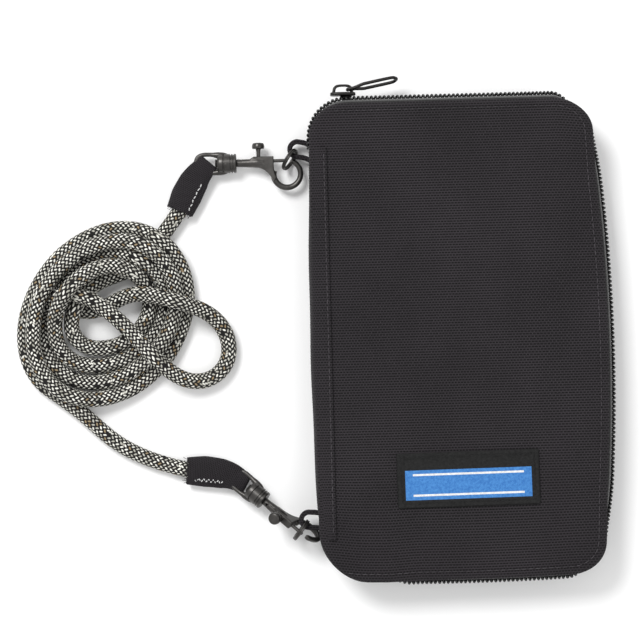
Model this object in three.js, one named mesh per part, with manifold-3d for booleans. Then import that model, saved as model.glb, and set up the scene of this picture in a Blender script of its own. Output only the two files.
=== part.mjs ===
// Neck pouch wallet: a zip-round canvas wallet, closed and lying on its back, with its
// round braided neck cord clipped to the spine at both ends by two bolt snaps.
// Millimetres, +Z up. The origin is on the floor under the middle of the wallet,
// +Y runs along the wallet's length and the spine is on the -X side.
import * as THREE from 'three';
import { mergeVertices } from 'three/addons/utils/BufferGeometryUtils.js';
import Module from 'manifold-3d';

const wasm = await Module();
wasm.setup();

// ---------- driving dimensions ----------
const GAP = 0.3; // left between pieces that touch
const THICKNESS = 22; // closed wallet, back face to front face
const PANEL_THICKNESS = 2.4;
const PANEL = { left: -56.3, right: 54.5, halfLength: 92.5, spineRadius: 16, openRadius: 12 };
const ZIP = { left: -54, right: 54.5, halfLength: 92.5, topRadius: 13, lowRadius: 17, openRadius: 12 };
const TAPE_THICKNESS = 1;
const TAPE_ENDS = { top: -10, low: 4 }; // degrees in from the spine side, round its two corners
const TEETH_ENDS = { top: 0, low: 20 };
const TEETH_DEPTH = 2;
const TEETH_HEIGHT = 1.5;
const TEETH_GAP = 1; // between the two rows, where the slider's divider runs
const SPINE = { left: -56.9, thickness: 1.2, halfLength: 74.5 };
const LINING_THICKNESS = 0.8;
const LINING_INSET = 6;
const POCKET_THICKNESS = 0.6;
const POCKET_HALF_WIDTH = 46;
const CARD_SLOT_HEIGHTS = [76, 66, 56];
const FRONT_POCKET_HEIGHT = 120;
const POCKET_FOOT_Y = -82;
const LABEL = { left: -25.6, right: 30.5, low: -66.4, high: -44.2, thickness: 0.9 };
const SLIDER_X = -42.5;
const PULL_LENGTH = 21;
const PULL_HALF_WIDTH = 2.4;
const PULL_WIRE_RADIUS = 0.65;
const PULL_TILT_DEG = 11;
const RING_RADIUS = 4.4;
const RING_WIRE_RADIUS = 0.7;
const TAB_LOOP = { outer: 3.3, inner: 2.2, halfHeight: 1.7 };
const CORD_RADIUS = 3.1;
const CORD_Z = CORD_RADIUS + 0.1;

const MIDDLE_Z = THICKNESS / 2;
const BACK_INSIDE_Z = PANEL_THICKNESS + GAP;
const FRONT_INSIDE_Z = THICKNESS - PANEL_THICKNESS - GAP;
const BACK_TEETH_TOP = MIDDLE_Z - TEETH_GAP / 2;
const FRONT_TEETH_LOW = MIDDLE_Z + TEETH_GAP / 2;
const TEETH_INNER = TAPE_THICKNESS + GAP;
const TEETH_OUTER = TEETH_INNER + TEETH_DEPTH;

// Each ring links a canvas loop on the spine with one snap hook. "end" is where its wire
// stands upright inside the loop, and "heading" points from there towards the hook.
const UPPER = {
  ringEnd: new THREE.Vector3(-61.65, 75.5, 5.4),
  heading: new THREE.Vector3(-0.557, -0.83, 0),
  loopCentre: new THREE.Vector2(-61, 75.8),
  snapAt: new THREE.Vector3(-70.5, 70.9, 5),
  turnDeg: 0,
  pitchDeg: 0,
  rollDeg: 0,
  tabLine: [new THREE.Vector2(-96.2, 69), new THREE.Vector2(-108.3, 52.6)],
  tabLowZ: 1.5,
};
const LOWER = {
  ringEnd: new THREE.Vector3(-60.6, -71.1, 10.1),
  heading: new THREE.Vector3(-0.62, -0.785, 0),
  loopCentre: new THREE.Vector2(-60.2, -70.6),
  snapAt: new THREE.Vector3(-66.8, -72.4, 10.5),
  turnDeg: -41.1,
  pitchDeg: 12,
  rollDeg: 110,
  tabLine: [new THREE.Vector2(-86.8, -53.6), new THREE.Vector2(-107.9, -50.3)],
  tabLowZ: 1.5,
};

// ---------- materials ----------
const canvas = new THREE.MeshStandardMaterial({ color: 0x2f2b2f, roughness: 0.95 });
const lining = new THREE.MeshStandardMaterial({ color: 0x3a3a3e, roughness: 0.85 });
const zipBlack = new THREE.MeshStandardMaterial({ color: 0x17171a, roughness: 0.5 });
const labelBlue = new THREE.MeshStandardMaterial({ color: 0x3f86cf, roughness: 0.8 });
const gunmetal = new THREE.MeshStandardMaterial({ color: 0x3a3a3a, roughness: 0.4, metalness: 0.9 });
const blackMetal = new THREE.MeshStandardMaterial({ color: 0x1d1d1f, roughness: 0.45, metalness: 0.8 });
const braid = new THREE.MeshStandardMaterial({ color: 0x8f8b7c, roughness: 0.9 });

// ---------- helpers ----------
const radians = THREE.MathUtils.degToRad;

function merged(geometry) {
  const bare = geometry.clone();
  bare.deleteAttribute('normal');
  bare.deleteAttribute('uv');
  return mergeVertices(bare, 1e-4);
}

function toSolid(geometry) {
  const closed = merged(geometry);
  const vertProperties = new Float32Array(closed.attributes.position.array);
  const triVerts = new Uint32Array(closed.index.array);
  return new wasm.Manifold(new wasm.Mesh({ numProp: 3, vertProperties, triVerts }));
}

function toGeometry(solid) {
  const mesh = solid.getMesh();
  const geometry = new THREE.BufferGeometry();
  geometry.setAttribute('position', new THREE.BufferAttribute(mesh.vertProperties, 3));
  geometry.setIndex(new THREE.BufferAttribute(mesh.triVerts, 1));
  geometry.computeVertexNormals();
  return geometry;
}

function join(first, ...rest) {
  return toGeometry(rest.reduce((whole, next) => whole.add(toSolid(next)), toSolid(first)));
}

function cut(body, ...tools) {
  return toGeometry(tools.reduce((whole, tool) => whole.subtract(toSolid(tool)), toSolid(body)));
}

function piece(parent, name, geometry, material) {
  const mesh = new THREE.Mesh(geometry, material);
  mesh.name = name;
  parent.add(mesh);
  return mesh;
}

function slab(shape, lowZ, highZ, curveSegments = 8) {
  const geometry = new THREE.ExtrudeGeometry(shape, {
    depth: highZ - lowZ,
    bevelEnabled: false,
    curveSegments,
  });
  return geometry.translate(0, 0, lowZ);
}

function box(low, high) {
  const size = new THREE.Vector3().subVectors(high, low);
  const middle = new THREE.Vector3().addVectors(low, high).multiplyScalar(0.5);
  return new THREE.BoxGeometry(size.x, size.y, size.z).translate(middle.x, middle.y, middle.z);
}

function rod(fromX, toX, radius, sides = 16) {
  const geometry = new THREE.CylinderGeometry(radius, radius, toX - fromX, sides);
  return geometry.rotateZ(-Math.PI / 2).translate((fromX + toX) / 2, 0, 0);
}

function tube(curve, radius, steps, sides = 8) {
  const section = new THREE.Shape();
  for (let i = 0; i < sides; i += 1) {
    const angle = (2 * Math.PI * i) / sides;
    const point = [radius * Math.cos(angle), radius * Math.sin(angle)];
    if (i === 0) section.moveTo(...point);
    else section.lineTo(...point);
  }
  section.closePath();
  return new THREE.ExtrudeGeometry(section, { extrudePath: curve, steps, bevelEnabled: false });
}

class Arc extends THREE.Curve {
  constructor(centre, radius, fromDeg, toDeg) {
    super();
    Object.assign(this, { centre, radius, fromDeg, toDeg });
  }

  getPoint(t, target = new THREE.Vector3()) {
    const angle = radians(this.fromDeg + (this.toDeg - this.fromDeg) * t);
    const { centre, radius } = this;
    return target.set(centre.x + radius * Math.cos(angle), centre.y + radius * Math.sin(angle), centre.z);
  }
}

// ---------- wallet body ----------
function roundedPlate(outline, inset = 0) {
  const left = outline.left + inset;
  const right = outline.right - inset;
  const top = outline.halfLength - inset;
  const spineRadius = outline.spineRadius - inset;
  const openRadius = outline.openRadius - inset;
  const quarter = Math.PI / 2;
  const shape = new THREE.Shape();
  shape.moveTo(left + spineRadius, -top);
  shape.absarc(right - openRadius, -top + openRadius, openRadius, -quarter, 0, false);
  shape.absarc(right - openRadius, top - openRadius, openRadius, 0, quarter, false);
  shape.absarc(left + spineRadius, top - spineRadius, spineRadius, quarter, 2 * quarter, false);
  shape.absarc(left + spineRadius, -top + spineRadius, spineRadius, 2 * quarter, 3 * quarter, false);
  return shape;
}

// The zip's line: round the spine-side top corner, along the three open sides and back in
// at the spine-side bottom corner, moved outwards by "offset".
function zipLine(offset, ends) {
  const { left, right, halfLength, topRadius, lowRadius, openRadius } = ZIP;
  const openX = right - openRadius;
  const openY = halfLength - openRadius;
  const corners = [
    [left + topRadius, halfLength - topRadius, topRadius, 180 - ends.top, 90],
    [openX, openY, openRadius, 90, 0],
    [openX, -openY, openRadius, 0, -90],
    [left + lowRadius, -halfLength + lowRadius, lowRadius, -90, -180 + ends.low],
  ];
  const steps = 8;
  const points = [];
  for (const [x, y, radius, fromDeg, toDeg] of corners) {
    for (let i = 0; i <= steps; i += 1) {
      const angle = radians(fromDeg + ((toDeg - fromDeg) * i) / steps);
      const reach = radius + offset;
      points.push(new THREE.Vector2(x + reach * Math.cos(angle), y + reach * Math.sin(angle)));
    }
  }
  return points;
}

function zipBand(innerOffset, outerOffset, ends, lowZ, highZ) {
  const outer = zipLine(outerOffset, ends);
  const inner = zipLine(innerOffset, ends).reverse();
  return slab(new THREE.Shape([...outer, ...inner]), lowZ, highZ);
}

function pocket(height, lowZ) {
  const low = new THREE.Vector3(-POCKET_HALF_WIDTH, POCKET_FOOT_Y, lowZ);
  const high = new THREE.Vector3(POCKET_HALF_WIDTH, POCKET_FOOT_Y + height, lowZ + POCKET_THICKNESS);
  return box(low, high);
}

function makeBackHalf(group) {
  const liningTop = BACK_INSIDE_Z + LINING_THICKNESS;
  piece(group, 'back_panel', slab(roundedPlate(PANEL), 0, PANEL_THICKNESS), canvas);
  piece(group, 'back_lining', slab(roundedPlate(PANEL, LINING_INSET), BACK_INSIDE_Z, liningTop), lining);
  CARD_SLOT_HEIGHTS.forEach((height, i) => {
    const lowZ = liningTop + GAP + i * (POCKET_THICKNESS + GAP);
    piece(group, `card_slot_${i + 1}`, pocket(height, lowZ), lining);
  });
  const tape = zipBand(0, TAPE_THICKNESS, TAPE_ENDS, BACK_INSIDE_Z, BACK_TEETH_TOP);
  piece(group, 'back_zip_tape', tape, zipBlack);
  const teethLow = BACK_TEETH_TOP - TEETH_HEIGHT;
  const teeth = zipBand(TEETH_INNER, TEETH_OUTER, TEETH_ENDS, teethLow, BACK_TEETH_TOP);
  piece(group, 'back_zip_teeth', teeth, zipBlack);
  const spineLow = new THREE.Vector3(SPINE.left, -SPINE.halfLength, BACK_INSIDE_Z);
  const spineHigh = new THREE.Vector3(SPINE.left + SPINE.thickness, SPINE.halfLength, FRONT_INSIDE_Z);
  piece(group, 'spine', box(spineLow, spineHigh), canvas);
}

function makeFrontHalf(group) {
  const liningLow = FRONT_INSIDE_Z - LINING_THICKNESS;
  const pocketLow = liningLow - GAP - POCKET_THICKNESS;
  piece(group, 'front_panel', slab(roundedPlate(PANEL), THICKNESS - PANEL_THICKNESS, THICKNESS), canvas);
  piece(group, 'front_lining', slab(roundedPlate(PANEL, LINING_INSET), liningLow, FRONT_INSIDE_Z), lining);
  piece(group, 'front_pocket', pocket(FRONT_POCKET_HEIGHT, pocketLow), lining);
  const tape = zipBand(0, TAPE_THICKNESS, TAPE_ENDS, FRONT_TEETH_LOW, FRONT_INSIDE_Z);
  piece(group, 'front_zip_tape', tape, zipBlack);
  const teethHigh = FRONT_TEETH_LOW + TEETH_HEIGHT;
  const teeth = zipBand(TEETH_INNER, TEETH_OUTER, TEETH_ENDS, FRONT_TEETH_LOW, teethHigh);
  piece(group, 'front_zip_teeth', teeth, zipBlack);
  const labelZ = THICKNESS + GAP;
  const labelLow = new THREE.Vector3(LABEL.left, LABEL.low, labelZ);
  const labelHigh = new THREE.Vector3(LABEL.right, LABEL.high, labelZ + LABEL.thickness);
  piece(group, 'label_patch', box(labelLow, labelHigh), labelBlue);
}

// ---------- zip slider and pull ----------
// The slider's two plates hold both rows of teeth between them and its divider parts the
// rows. It has a side wall on the back half only, so the front half can lift out of it.
function makeSlider(group) {
  const plateThickness = 1.2;
  const halfLength = 5;
  const halfHeight = 4.3;
  const innerHalfHeight = 2.8;
  const outerLow = ZIP.halfLength + TEETH_OUTER + GAP;
  const outerHigh = outerLow + plateThickness;
  const innerHigh = ZIP.halfLength - 0.5;
  const innerLow = innerHigh - 1;
  const dividerHalf = 0.2;
  const outline = new THREE.Shape();
  outline.moveTo(-halfLength, -2.6);
  outline.quadraticCurveTo(-halfLength + 0.4, -halfHeight, -1.5, -halfHeight);
  outline.lineTo(halfLength - 1.2, -3);
  outline.quadraticCurveTo(halfLength, -2.8, halfLength, -1.6);
  outline.lineTo(halfLength, 1.6);
  outline.quadraticCurveTo(halfLength, 2.8, halfLength - 1.2, 3);
  outline.lineTo(-1.5, halfHeight);
  outline.quadraticCurveTo(-halfLength + 0.4, halfHeight, -halfLength, 2.6);
  const plate = slab(outline, 0, plateThickness, 4);
  plate.rotateX(-Math.PI / 2).scale(1, -1, 1);
  const outerPlate = new THREE.BufferGeometry().copy(plate);
  flipWinding(outerPlate);
  outerPlate.translate(SLIDER_X, outerHigh, MIDDLE_Z);
  const innerPlate = box(
    new THREE.Vector3(SLIDER_X - 0.5, innerLow, MIDDLE_Z - innerHalfHeight),
    new THREE.Vector3(SLIDER_X + halfLength, innerHigh, MIDDLE_Z + innerHalfHeight),
  );
  const divider = box(
    new THREE.Vector3(SLIDER_X, innerLow + 0.5, MIDDLE_Z - dividerHalf),
    new THREE.Vector3(SLIDER_X + 3, outerLow + 0.5, MIDDLE_Z + dividerHalf),
  );
  const wallTop = BACK_TEETH_TOP - TEETH_HEIGHT - GAP;
  const wall = box(
    new THREE.Vector3(SLIDER_X - 1, ZIP.halfLength + TEETH_INNER + 1, wallTop - 1),
    new THREE.Vector3(SLIDER_X + halfLength - 1.5, outerLow + 0.5, wallTop),
  );
  piece(group, 'zip_slider', join(outerPlate, innerPlate, divider, wall), blackMetal);

  const bailRise = 2.6;
  const bailSpan = 3.6;
  const bailRadius = 0.55;
  const footY = outerHigh + GAP + bailRadius * 0.2;
  const arch = new THREE.CatmullRomCurve3([
    new THREE.Vector3(SLIDER_X - bailSpan, footY, MIDDLE_Z),
    new THREE.Vector3(SLIDER_X - bailSpan + 0.5, footY + bailRise * 0.7, MIDDLE_Z),
    new THREE.Vector3(SLIDER_X - bailSpan + 2, footY + bailRise, MIDDLE_Z),
    new THREE.Vector3(SLIDER_X + bailSpan - 2, footY + bailRise, MIDDLE_Z),
    new THREE.Vector3(SLIDER_X + bailSpan - 0.5, footY + bailRise * 0.7, MIDDLE_Z),
    new THREE.Vector3(SLIDER_X + bailSpan, footY, MIDDLE_Z),
  ]);
  piece(group, 'slider_bail', tube(arch, bailRadius, 14), blackMetal);

  const pull = new THREE.Group();
  pull.position.set(SLIDER_X + 1.9, outerHigh + GAP + PULL_WIRE_RADIUS + 0.15, MIDDLE_Z);
  pull.rotation.z = radians(PULL_TILT_DEG);
  piece(pull, 'zip_pull', pullLoop(), blackMetal);
  group.add(pull);
}

function flipWinding(geometry) {
  const position = geometry.attributes.position;
  for (let i = 0; i < position.count; i += 3) {
    const first = new THREE.Vector3().fromBufferAttribute(position, i);
    const second = new THREE.Vector3().fromBufferAttribute(position, i + 1);
    position.setXYZ(i, second.x, second.y, second.z);
    position.setXYZ(i + 1, first.x, first.y, first.z);
  }
}

// A long wire loop in its own XZ plane, its near end crossing under the bail at x = 0.
function pullLoop() {
  const half = PULL_HALF_WIDTH;
  const far = PULL_LENGTH - PULL_WIRE_RADIUS * 2;
  const bend = 1.1;
  const points = [
    new THREE.Vector3(0, 0, 0),
    new THREE.Vector3(0, 0, half - bend),
    new THREE.Vector3(bend * 0.3, 0, half - bend * 0.3),
    new THREE.Vector3(bend, 0, half),
    new THREE.Vector3(far * 0.5, 0, half + 0.3),
    new THREE.Vector3(far - 2.2, 0, half + 0.2),
    new THREE.Vector3(far - 0.5, 0, half - 1),
    new THREE.Vector3(far, 0, 0),
  ];
  const mirrored = points.slice(1, -1).reverse().map((p) => new THREE.Vector3(p.x, 0, -p.z));
  const route = new THREE.CatmullRomCurve3([...points, ...mirrored], true);
  return tube(route, PULL_WIRE_RADIUS, 40);
}

// ---------- ring loops and rings on the spine ----------
function ringLoop(centre, middleZ) {
  const rootX = SPINE.left - GAP;
  const { outer, inner, halfHeight } = TAB_LOOP;
  const quarter = Math.PI / 2;
  const shape = new THREE.Shape();
  shape.moveTo(rootX, centre.y + outer);
  shape.lineTo(centre.x, centre.y + outer);
  shape.absarc(centre.x, centre.y, outer, quarter, 3 * quarter, false);
  shape.lineTo(rootX, centre.y - outer);
  shape.lineTo(rootX, centre.y - inner);
  shape.lineTo(centre.x, centre.y - inner);
  shape.absarc(centre.x, centre.y, inner, 3 * quarter, quarter, true);
  shape.lineTo(rootX, centre.y + inner);
  return slab(shape, middleZ - halfHeight, middleZ + halfHeight);
}

function splitRing(end, heading) {
  const ring = new THREE.TorusGeometry(RING_RADIUS, RING_WIRE_RADIUS, 8, 24);
  ring.rotateX(Math.PI / 2).rotateZ(Math.atan2(heading.y, heading.x));
  const centre = heading.clone().setLength(RING_RADIUS).add(end);
  return ring.translate(centre.x, centre.y, centre.z);
}

// ---------- bolt snaps ----------
// Drawn with the shaft along X, the body's hook-side end at the origin, the hook's opening
// below the shaft (-Y) and the thumb stud above it.
const HOOK = { x: 5.2, y: -4.7, inner: 4.4, outer: 6.3 };
const BOLT_Y = 0.6;
const COLLAR = { from: -22.4, to: -14.8, radius: 3.8, bore: 1.7 };
const STEM_RADIUS = 1.4;
const NECK_RADIUS = 1.9;

function hookBody() {
  const wire = (HOOK.outer - HOOK.inner) / 2;
  const centre = new THREE.Vector3(HOOK.x, HOOK.y, 0);
  const hook = tube(new Arc(centre, HOOK.inner + wire, 165, 430), wire, 26);
  const stem = rod(COLLAR.from - 1, COLLAR.to + 1, STEM_RADIUS);
  const head = rod(COLLAR.from - 1.5, COLLAR.from - GAP, STEM_RADIUS + 0.6);
  const neck = rod(COLLAR.to + GAP, -7, NECK_RADIUS);
  const block = new THREE.Shape();
  block.moveTo(-9.4, -1.5);
  block.lineTo(-9.4, 1.5);
  block.lineTo(-8, 2.4);
  block.lineTo(0, 2.4);
  block.lineTo(0, -2);
  block.quadraticCurveTo(0.2, -4.4, 0.9, -6.2);
  block.lineTo(0, -7.6);
  block.quadraticCurveTo(-2.6, -2.6, -6.4, -1.9);
  const web = slab(block, -1.6, 1.6);
  const whole = join(neck, stem, head, web, hook);
  const bore = rod(-13.2, 1, 1);
  bore.translate(0, BOLT_Y, 0);
  const slot = box(new THREE.Vector3(-12.4, BOLT_Y, -1), new THREE.Vector3(-3.9, 3, 1));
  return cut(whole, bore, slot);
}

function thumbBolt() {
  const pin = rod(-7.2, 5.6, 0.7, 12);
  pin.translate(0, BOLT_Y, 0);
  const neck = new THREE.CylinderGeometry(0.7, 0.7, 5, 12).translate(-6, BOLT_Y + 2.5, 0);
  const stud = new THREE.CylinderGeometry(2.1, 2.5, 2.4, 20).translate(-6, 6.7, 0);
  return join(pin, neck, stud);
}

function boltSpring() {
  const coil = rod(-12.8, -7.5, 0.75, 10);
  return coil.translate(0, BOLT_Y, 0);
}

function swivelEye() {
  const { from, to, radius, bore } = COLLAR;
  const groove = radius - 0.5;
  const profile = [
    [bore, from], [groove, from], [radius, from + 0.7], [radius, from + 1.8], [groove, from + 2.2],
    [groove, from + 2.8], [radius, from + 3.2], [radius, to - 2], [groove, to - 1.6],
    [groove, to - 1], [radius, to - 0.8], [radius, to], [bore, to], [bore, from],
  ].map(([r, x]) => new THREE.Vector2(r, x));
  const collar = new THREE.LatheGeometry(profile, 20).rotateZ(-Math.PI / 2);
  const wire = 0.9;
  const half = 3.3;
  const far = from - 8.4;
  const route = new THREE.CatmullRomCurve3([
    new THREE.Vector3(from + 1, 3, 0),
    new THREE.Vector3(from - 0.8, 3.3, 0),
    new THREE.Vector3(from - 3, half + 0.4, 0),
    new THREE.Vector3(far + 2.6, half + 0.5, 0),
    new THREE.Vector3(far + 0.6, half - 0.6, 0),
    new THREE.Vector3(far, 0, 0),
    new THREE.Vector3(far + 0.6, -half + 0.6, 0),
    new THREE.Vector3(far + 2.6, -half - 0.5, 0),
    new THREE.Vector3(from - 3, -half - 0.4, 0),
    new THREE.Vector3(from - 0.8, -3.3, 0),
    new THREE.Vector3(from + 1, -3, 0),
  ]);
  return join(collar, tube(route, wire, 30));
}

function cordTab(place) {
  const [start, finish] = place.tabLine;
  const along = new THREE.Vector2().subVectors(finish, start);
  const length = along.length();
  const shape = new THREE.Shape();
  shape.moveTo(0, -3.4);
  shape.quadraticCurveTo(-1.2, 0, 0, 3.4);
  shape.lineTo(length * 0.35, 4.6);
  shape.lineTo(length, 5.6);
  shape.lineTo(length, -5.6);
  shape.lineTo(length * 0.35, -4.6);
  const body = slab(shape, place.tabLowZ, place.tabLowZ + 5.4, 4);
  return body.rotateZ(along.angle()).translate(start.x, start.y, 0);
}

function snapFrame(place, rollDeg) {
  const group = new THREE.Group();
  group.position.copy(place.snapAt);
  group.rotation.set(radians(rollDeg), radians(-place.pitchDeg), radians(place.turnDeg), 'ZYX');
  return group;
}

// The room a wire needs inside a tab: the eye's loop, made thicker by the running gap.
function eyeClearance(place) {
  const { from } = COLLAR;
  const room = new THREE.BoxGeometry(10.6, 10.4, 2.6).translate(from - 4.4, 0, 0);
  const frame = snapFrame(place, 0);
  frame.updateMatrix();
  return room.applyMatrix4(frame.matrix);
}

function makeStrapEnd(group, side, place) {
  const middleZ = place.ringEnd.z;
  piece(group, `${side}_ring_loop`, ringLoop(place.loopCentre, middleZ), canvas);
  piece(group, `${side}_ring`, splitRing(place.ringEnd, place.heading), gunmetal);
  const snap = snapFrame(place, place.rollDeg);
  piece(snap, `${side}_snap_hook`, hookBody(), gunmetal);
  piece(snap, `${side}_thumb_bolt`, thumbBolt(), gunmetal);
  piece(snap, `${side}_bolt_spring`, boltSpring(), gunmetal);
  group.add(snap);
  const eye = snapFrame(place, 0);
  piece(eye, `${side}_swivel_eye`, swivelEye(), gunmetal);
  group.add(eye);
  piece(group, `${side}_cord_tab`, cut(cordTab(place), eyeClearance(place)), canvas);
}

// ---------- neck cord ----------
const HEAP = { x: -138.4, y: 10.9, outerX: 36, outerY: 39, inner: 9, height: 15 };
const UPPER_LEAD = [[-108.6, 51.9], [-111.4, 48.4], [-114.3, 44.2]];
const BIGHT = [
  [-101.3, 14.2], [-94.9, 11.5], [-89.8, 4.6], [-88.1, -3], [-89.8, -9.3], [-94.9, -14.5],
  [-101.5, -16.4], [-107.6, -15.6],
];
const LOWER_LEAD = [
  [-143.2, -32.3], [-136.7, -38.6], [-128.1, -43.6], [-118.3, -47.4], [-108.4, -50.2],
];

function lead(points, steps) {
  const route = new THREE.CatmullRomCurve3(points.map(([x, y]) => new THREE.Vector3(x, y, CORD_Z)));
  return tube(route, CORD_RADIUS, steps);
}

function cordHeap() {
  const { outerX, outerY, inner, height } = HEAP;
  const soft = 3;
  const low = 0.1;
  const profile = [
    [inner, low + soft], [inner + soft, low], [outerX - soft, low], [outerX, low + soft],
    [outerX, height - 2 * soft], [outerX - 2 * soft, height], [inner + 2 * soft, height],
    [inner, height - 2 * soft], [inner, low + soft],
  ].map(([r, z]) => new THREE.Vector2(r, z));
  const ring = new THREE.LatheGeometry(profile, 32).rotateX(Math.PI / 2);
  return ring.scale(1, outerY / outerX, 1).translate(HEAP.x, HEAP.y, 0);
}

function makeCord(group) {
  piece(group, 'cord_heap', cordHeap(), braid);
  piece(group, 'cord_upper_lead', lead(UPPER_LEAD, 3), braid);
  piece(group, 'cord_bight', lead(BIGHT, 12), braid);
  piece(group, 'cord_lower_lead', lead(LOWER_LEAD, 8), braid);
}

// ---------- assembly ----------
const wallet = new THREE.Group();
makeBackHalf(wallet);
makeFrontHalf(wallet);
makeSlider(wallet);
makeStrapEnd(wallet, 'upper', UPPER);
makeStrapEnd(wallet, 'lower', LOWER);
makeCord(wallet);

export default wallet;
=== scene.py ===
"""Looks of the neck pouch wallet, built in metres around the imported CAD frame.

+Z is up through the front cover, +Y runs along the wallet and the spine is on the -X side.
Lengths are written in millimetres and multiplied by MM where a mesh is made.
"""

import math

import bmesh
import bpy
import numpy as np
from mathutils import Matrix, Vector


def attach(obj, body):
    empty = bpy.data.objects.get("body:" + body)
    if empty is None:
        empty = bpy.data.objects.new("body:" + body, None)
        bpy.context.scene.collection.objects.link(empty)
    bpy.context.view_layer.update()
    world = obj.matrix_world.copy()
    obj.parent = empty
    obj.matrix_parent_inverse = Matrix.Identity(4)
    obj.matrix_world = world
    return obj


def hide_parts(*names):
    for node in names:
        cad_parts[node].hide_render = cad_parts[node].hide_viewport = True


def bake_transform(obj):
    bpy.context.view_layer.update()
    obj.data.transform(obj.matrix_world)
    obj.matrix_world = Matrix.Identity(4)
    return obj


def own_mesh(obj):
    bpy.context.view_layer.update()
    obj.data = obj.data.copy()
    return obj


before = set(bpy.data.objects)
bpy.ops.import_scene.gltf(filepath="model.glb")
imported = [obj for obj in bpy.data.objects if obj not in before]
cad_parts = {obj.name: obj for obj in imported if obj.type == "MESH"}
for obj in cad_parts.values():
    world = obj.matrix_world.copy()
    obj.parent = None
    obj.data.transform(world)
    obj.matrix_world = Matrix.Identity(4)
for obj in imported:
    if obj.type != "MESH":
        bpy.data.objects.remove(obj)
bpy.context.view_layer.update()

MM = 0.001
FULL_TURN = 2 * math.pi
UP = np.array((0, 0, 1.0))


# ---------- stage, light and camera ----------
CAMERA_HEIGHT = 1.1
CAMERA_OVER = (-0.0538, 0.0080)
CAMERA_TURN_DEG = -1.5
CAMERA_LENS_MM = 155.5
FLOOR_Z = -0.0002
FLOOR_HALF_SIZE = 3.0
FLOOR_TONE = 0.93
SKY_STRENGTH = 0.75
LIGHT_TARGET = (-0.03, 0, 0)
LIGHTS = {
    "key": {"location": (-0.55, 0.65, 1.1), "size": 0.55, "power": 13},
    "fill": {"location": (0.7, -0.35, 1.2), "size": 0.9, "power": 3.5},
}


def in_scene(name, data):
    """A new object in the scene, with the given data."""
    thing = bpy.data.objects.new(name, data)
    bpy.context.scene.collection.objects.link(thing)
    return thing


def make_camera():
    data = bpy.data.cameras.new("camera")
    data.lens = CAMERA_LENS_MM
    data.sensor_width = 36.0
    data.clip_start = 0.05
    camera = in_scene("camera", data)
    camera.location = (*CAMERA_OVER, CAMERA_HEIGHT)
    camera.rotation_euler = (0, 0, math.radians(CAMERA_TURN_DEG))
    bpy.context.scene.camera = camera


def make_light(name, location, size, power):
    data = bpy.data.lights.new(name, "AREA")
    data.shape = "DISK"
    data.size = size
    data.energy = power
    light = in_scene(name, data)
    light.location = location
    direction = Vector(LIGHT_TARGET) - Vector(location)
    light.rotation_euler = direction.to_track_quat("-Z", "Y").to_euler()


def make_stage():
    mesh = bpy.data.meshes.new("floor")
    corners = [(-1, -1), (1, -1), (1, 1), (-1, 1)]
    points = [(x * FLOOR_HALF_SIZE, y * FLOOR_HALF_SIZE, FLOOR_Z) for x, y in corners]
    mesh.from_pydata(points, [], [(0, 1, 2, 3)])
    shader = Shader("floor_white", roughness=0.9)
    shader.set("Base Color", grey(FLOOR_TONE))
    mesh.materials.append(shader.material)
    in_scene("floor", mesh)
    world = bpy.data.worlds.new("soft_studio")
    world.use_nodes = True
    sky = world.node_tree.nodes["Background"].inputs
    sky["Color"].default_value = grey(1)
    sky["Strength"].default_value = SKY_STRENGTH
    bpy.context.scene.world = world
    bpy.context.scene.view_settings.view_transform = "Standard"
    for name, settings in LIGHTS.items():
        make_light(name, **settings)


# ---------- shader helpers ----------
def math_node(operation):
    """A method of Value that adds one math node with the given operation."""

    def worked_out(*values):
        return values[0].shader.node("ShaderNodeMath", enumerate(values), operation=operation)

    return worked_out


class Value:
    """One output of a shader node. A sum of values adds the nodes that work it out."""

    __add__ = math_node("ADD")
    __sub__ = math_node("SUBTRACT")
    __mul__ = math_node("MULTIPLY")
    __truediv__ = math_node("DIVIDE")
    __mod__ = math_node("MODULO")
    __pow__ = math_node("POWER")
    __gt__ = math_node("GREATER_THAN")
    __lt__ = math_node("LESS_THAN")
    __abs__ = math_node("ABSOLUTE")
    whole = math_node("FLOOR")
    fraction = math_node("FRACT")
    sine = math_node("SINE")
    cosine = math_node("COSINE")
    zigzag = math_node("PINGPONG")

    def __init__(self, shader, socket):
        self.shader = shader
        self.socket = socket

    def between(self, low, high):
        return (self > low) * (self < high)

    def spread(self, low, high, to_low=0.0, to_high=1.0):
        """Maps low to high onto to_low to to_high, and holds it there past both ends."""
        return self.shader.node("ShaderNodeMapRange", enumerate((self, low, high, to_low, to_high)))

    def mix(self, first, second):
        """The first colour where this value is 0 and the second where it is 1."""
        return self.shader.node("ShaderNodeMix", {0: self, 6: first, 7: second}, output=2, data_type="RGBA")


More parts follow.
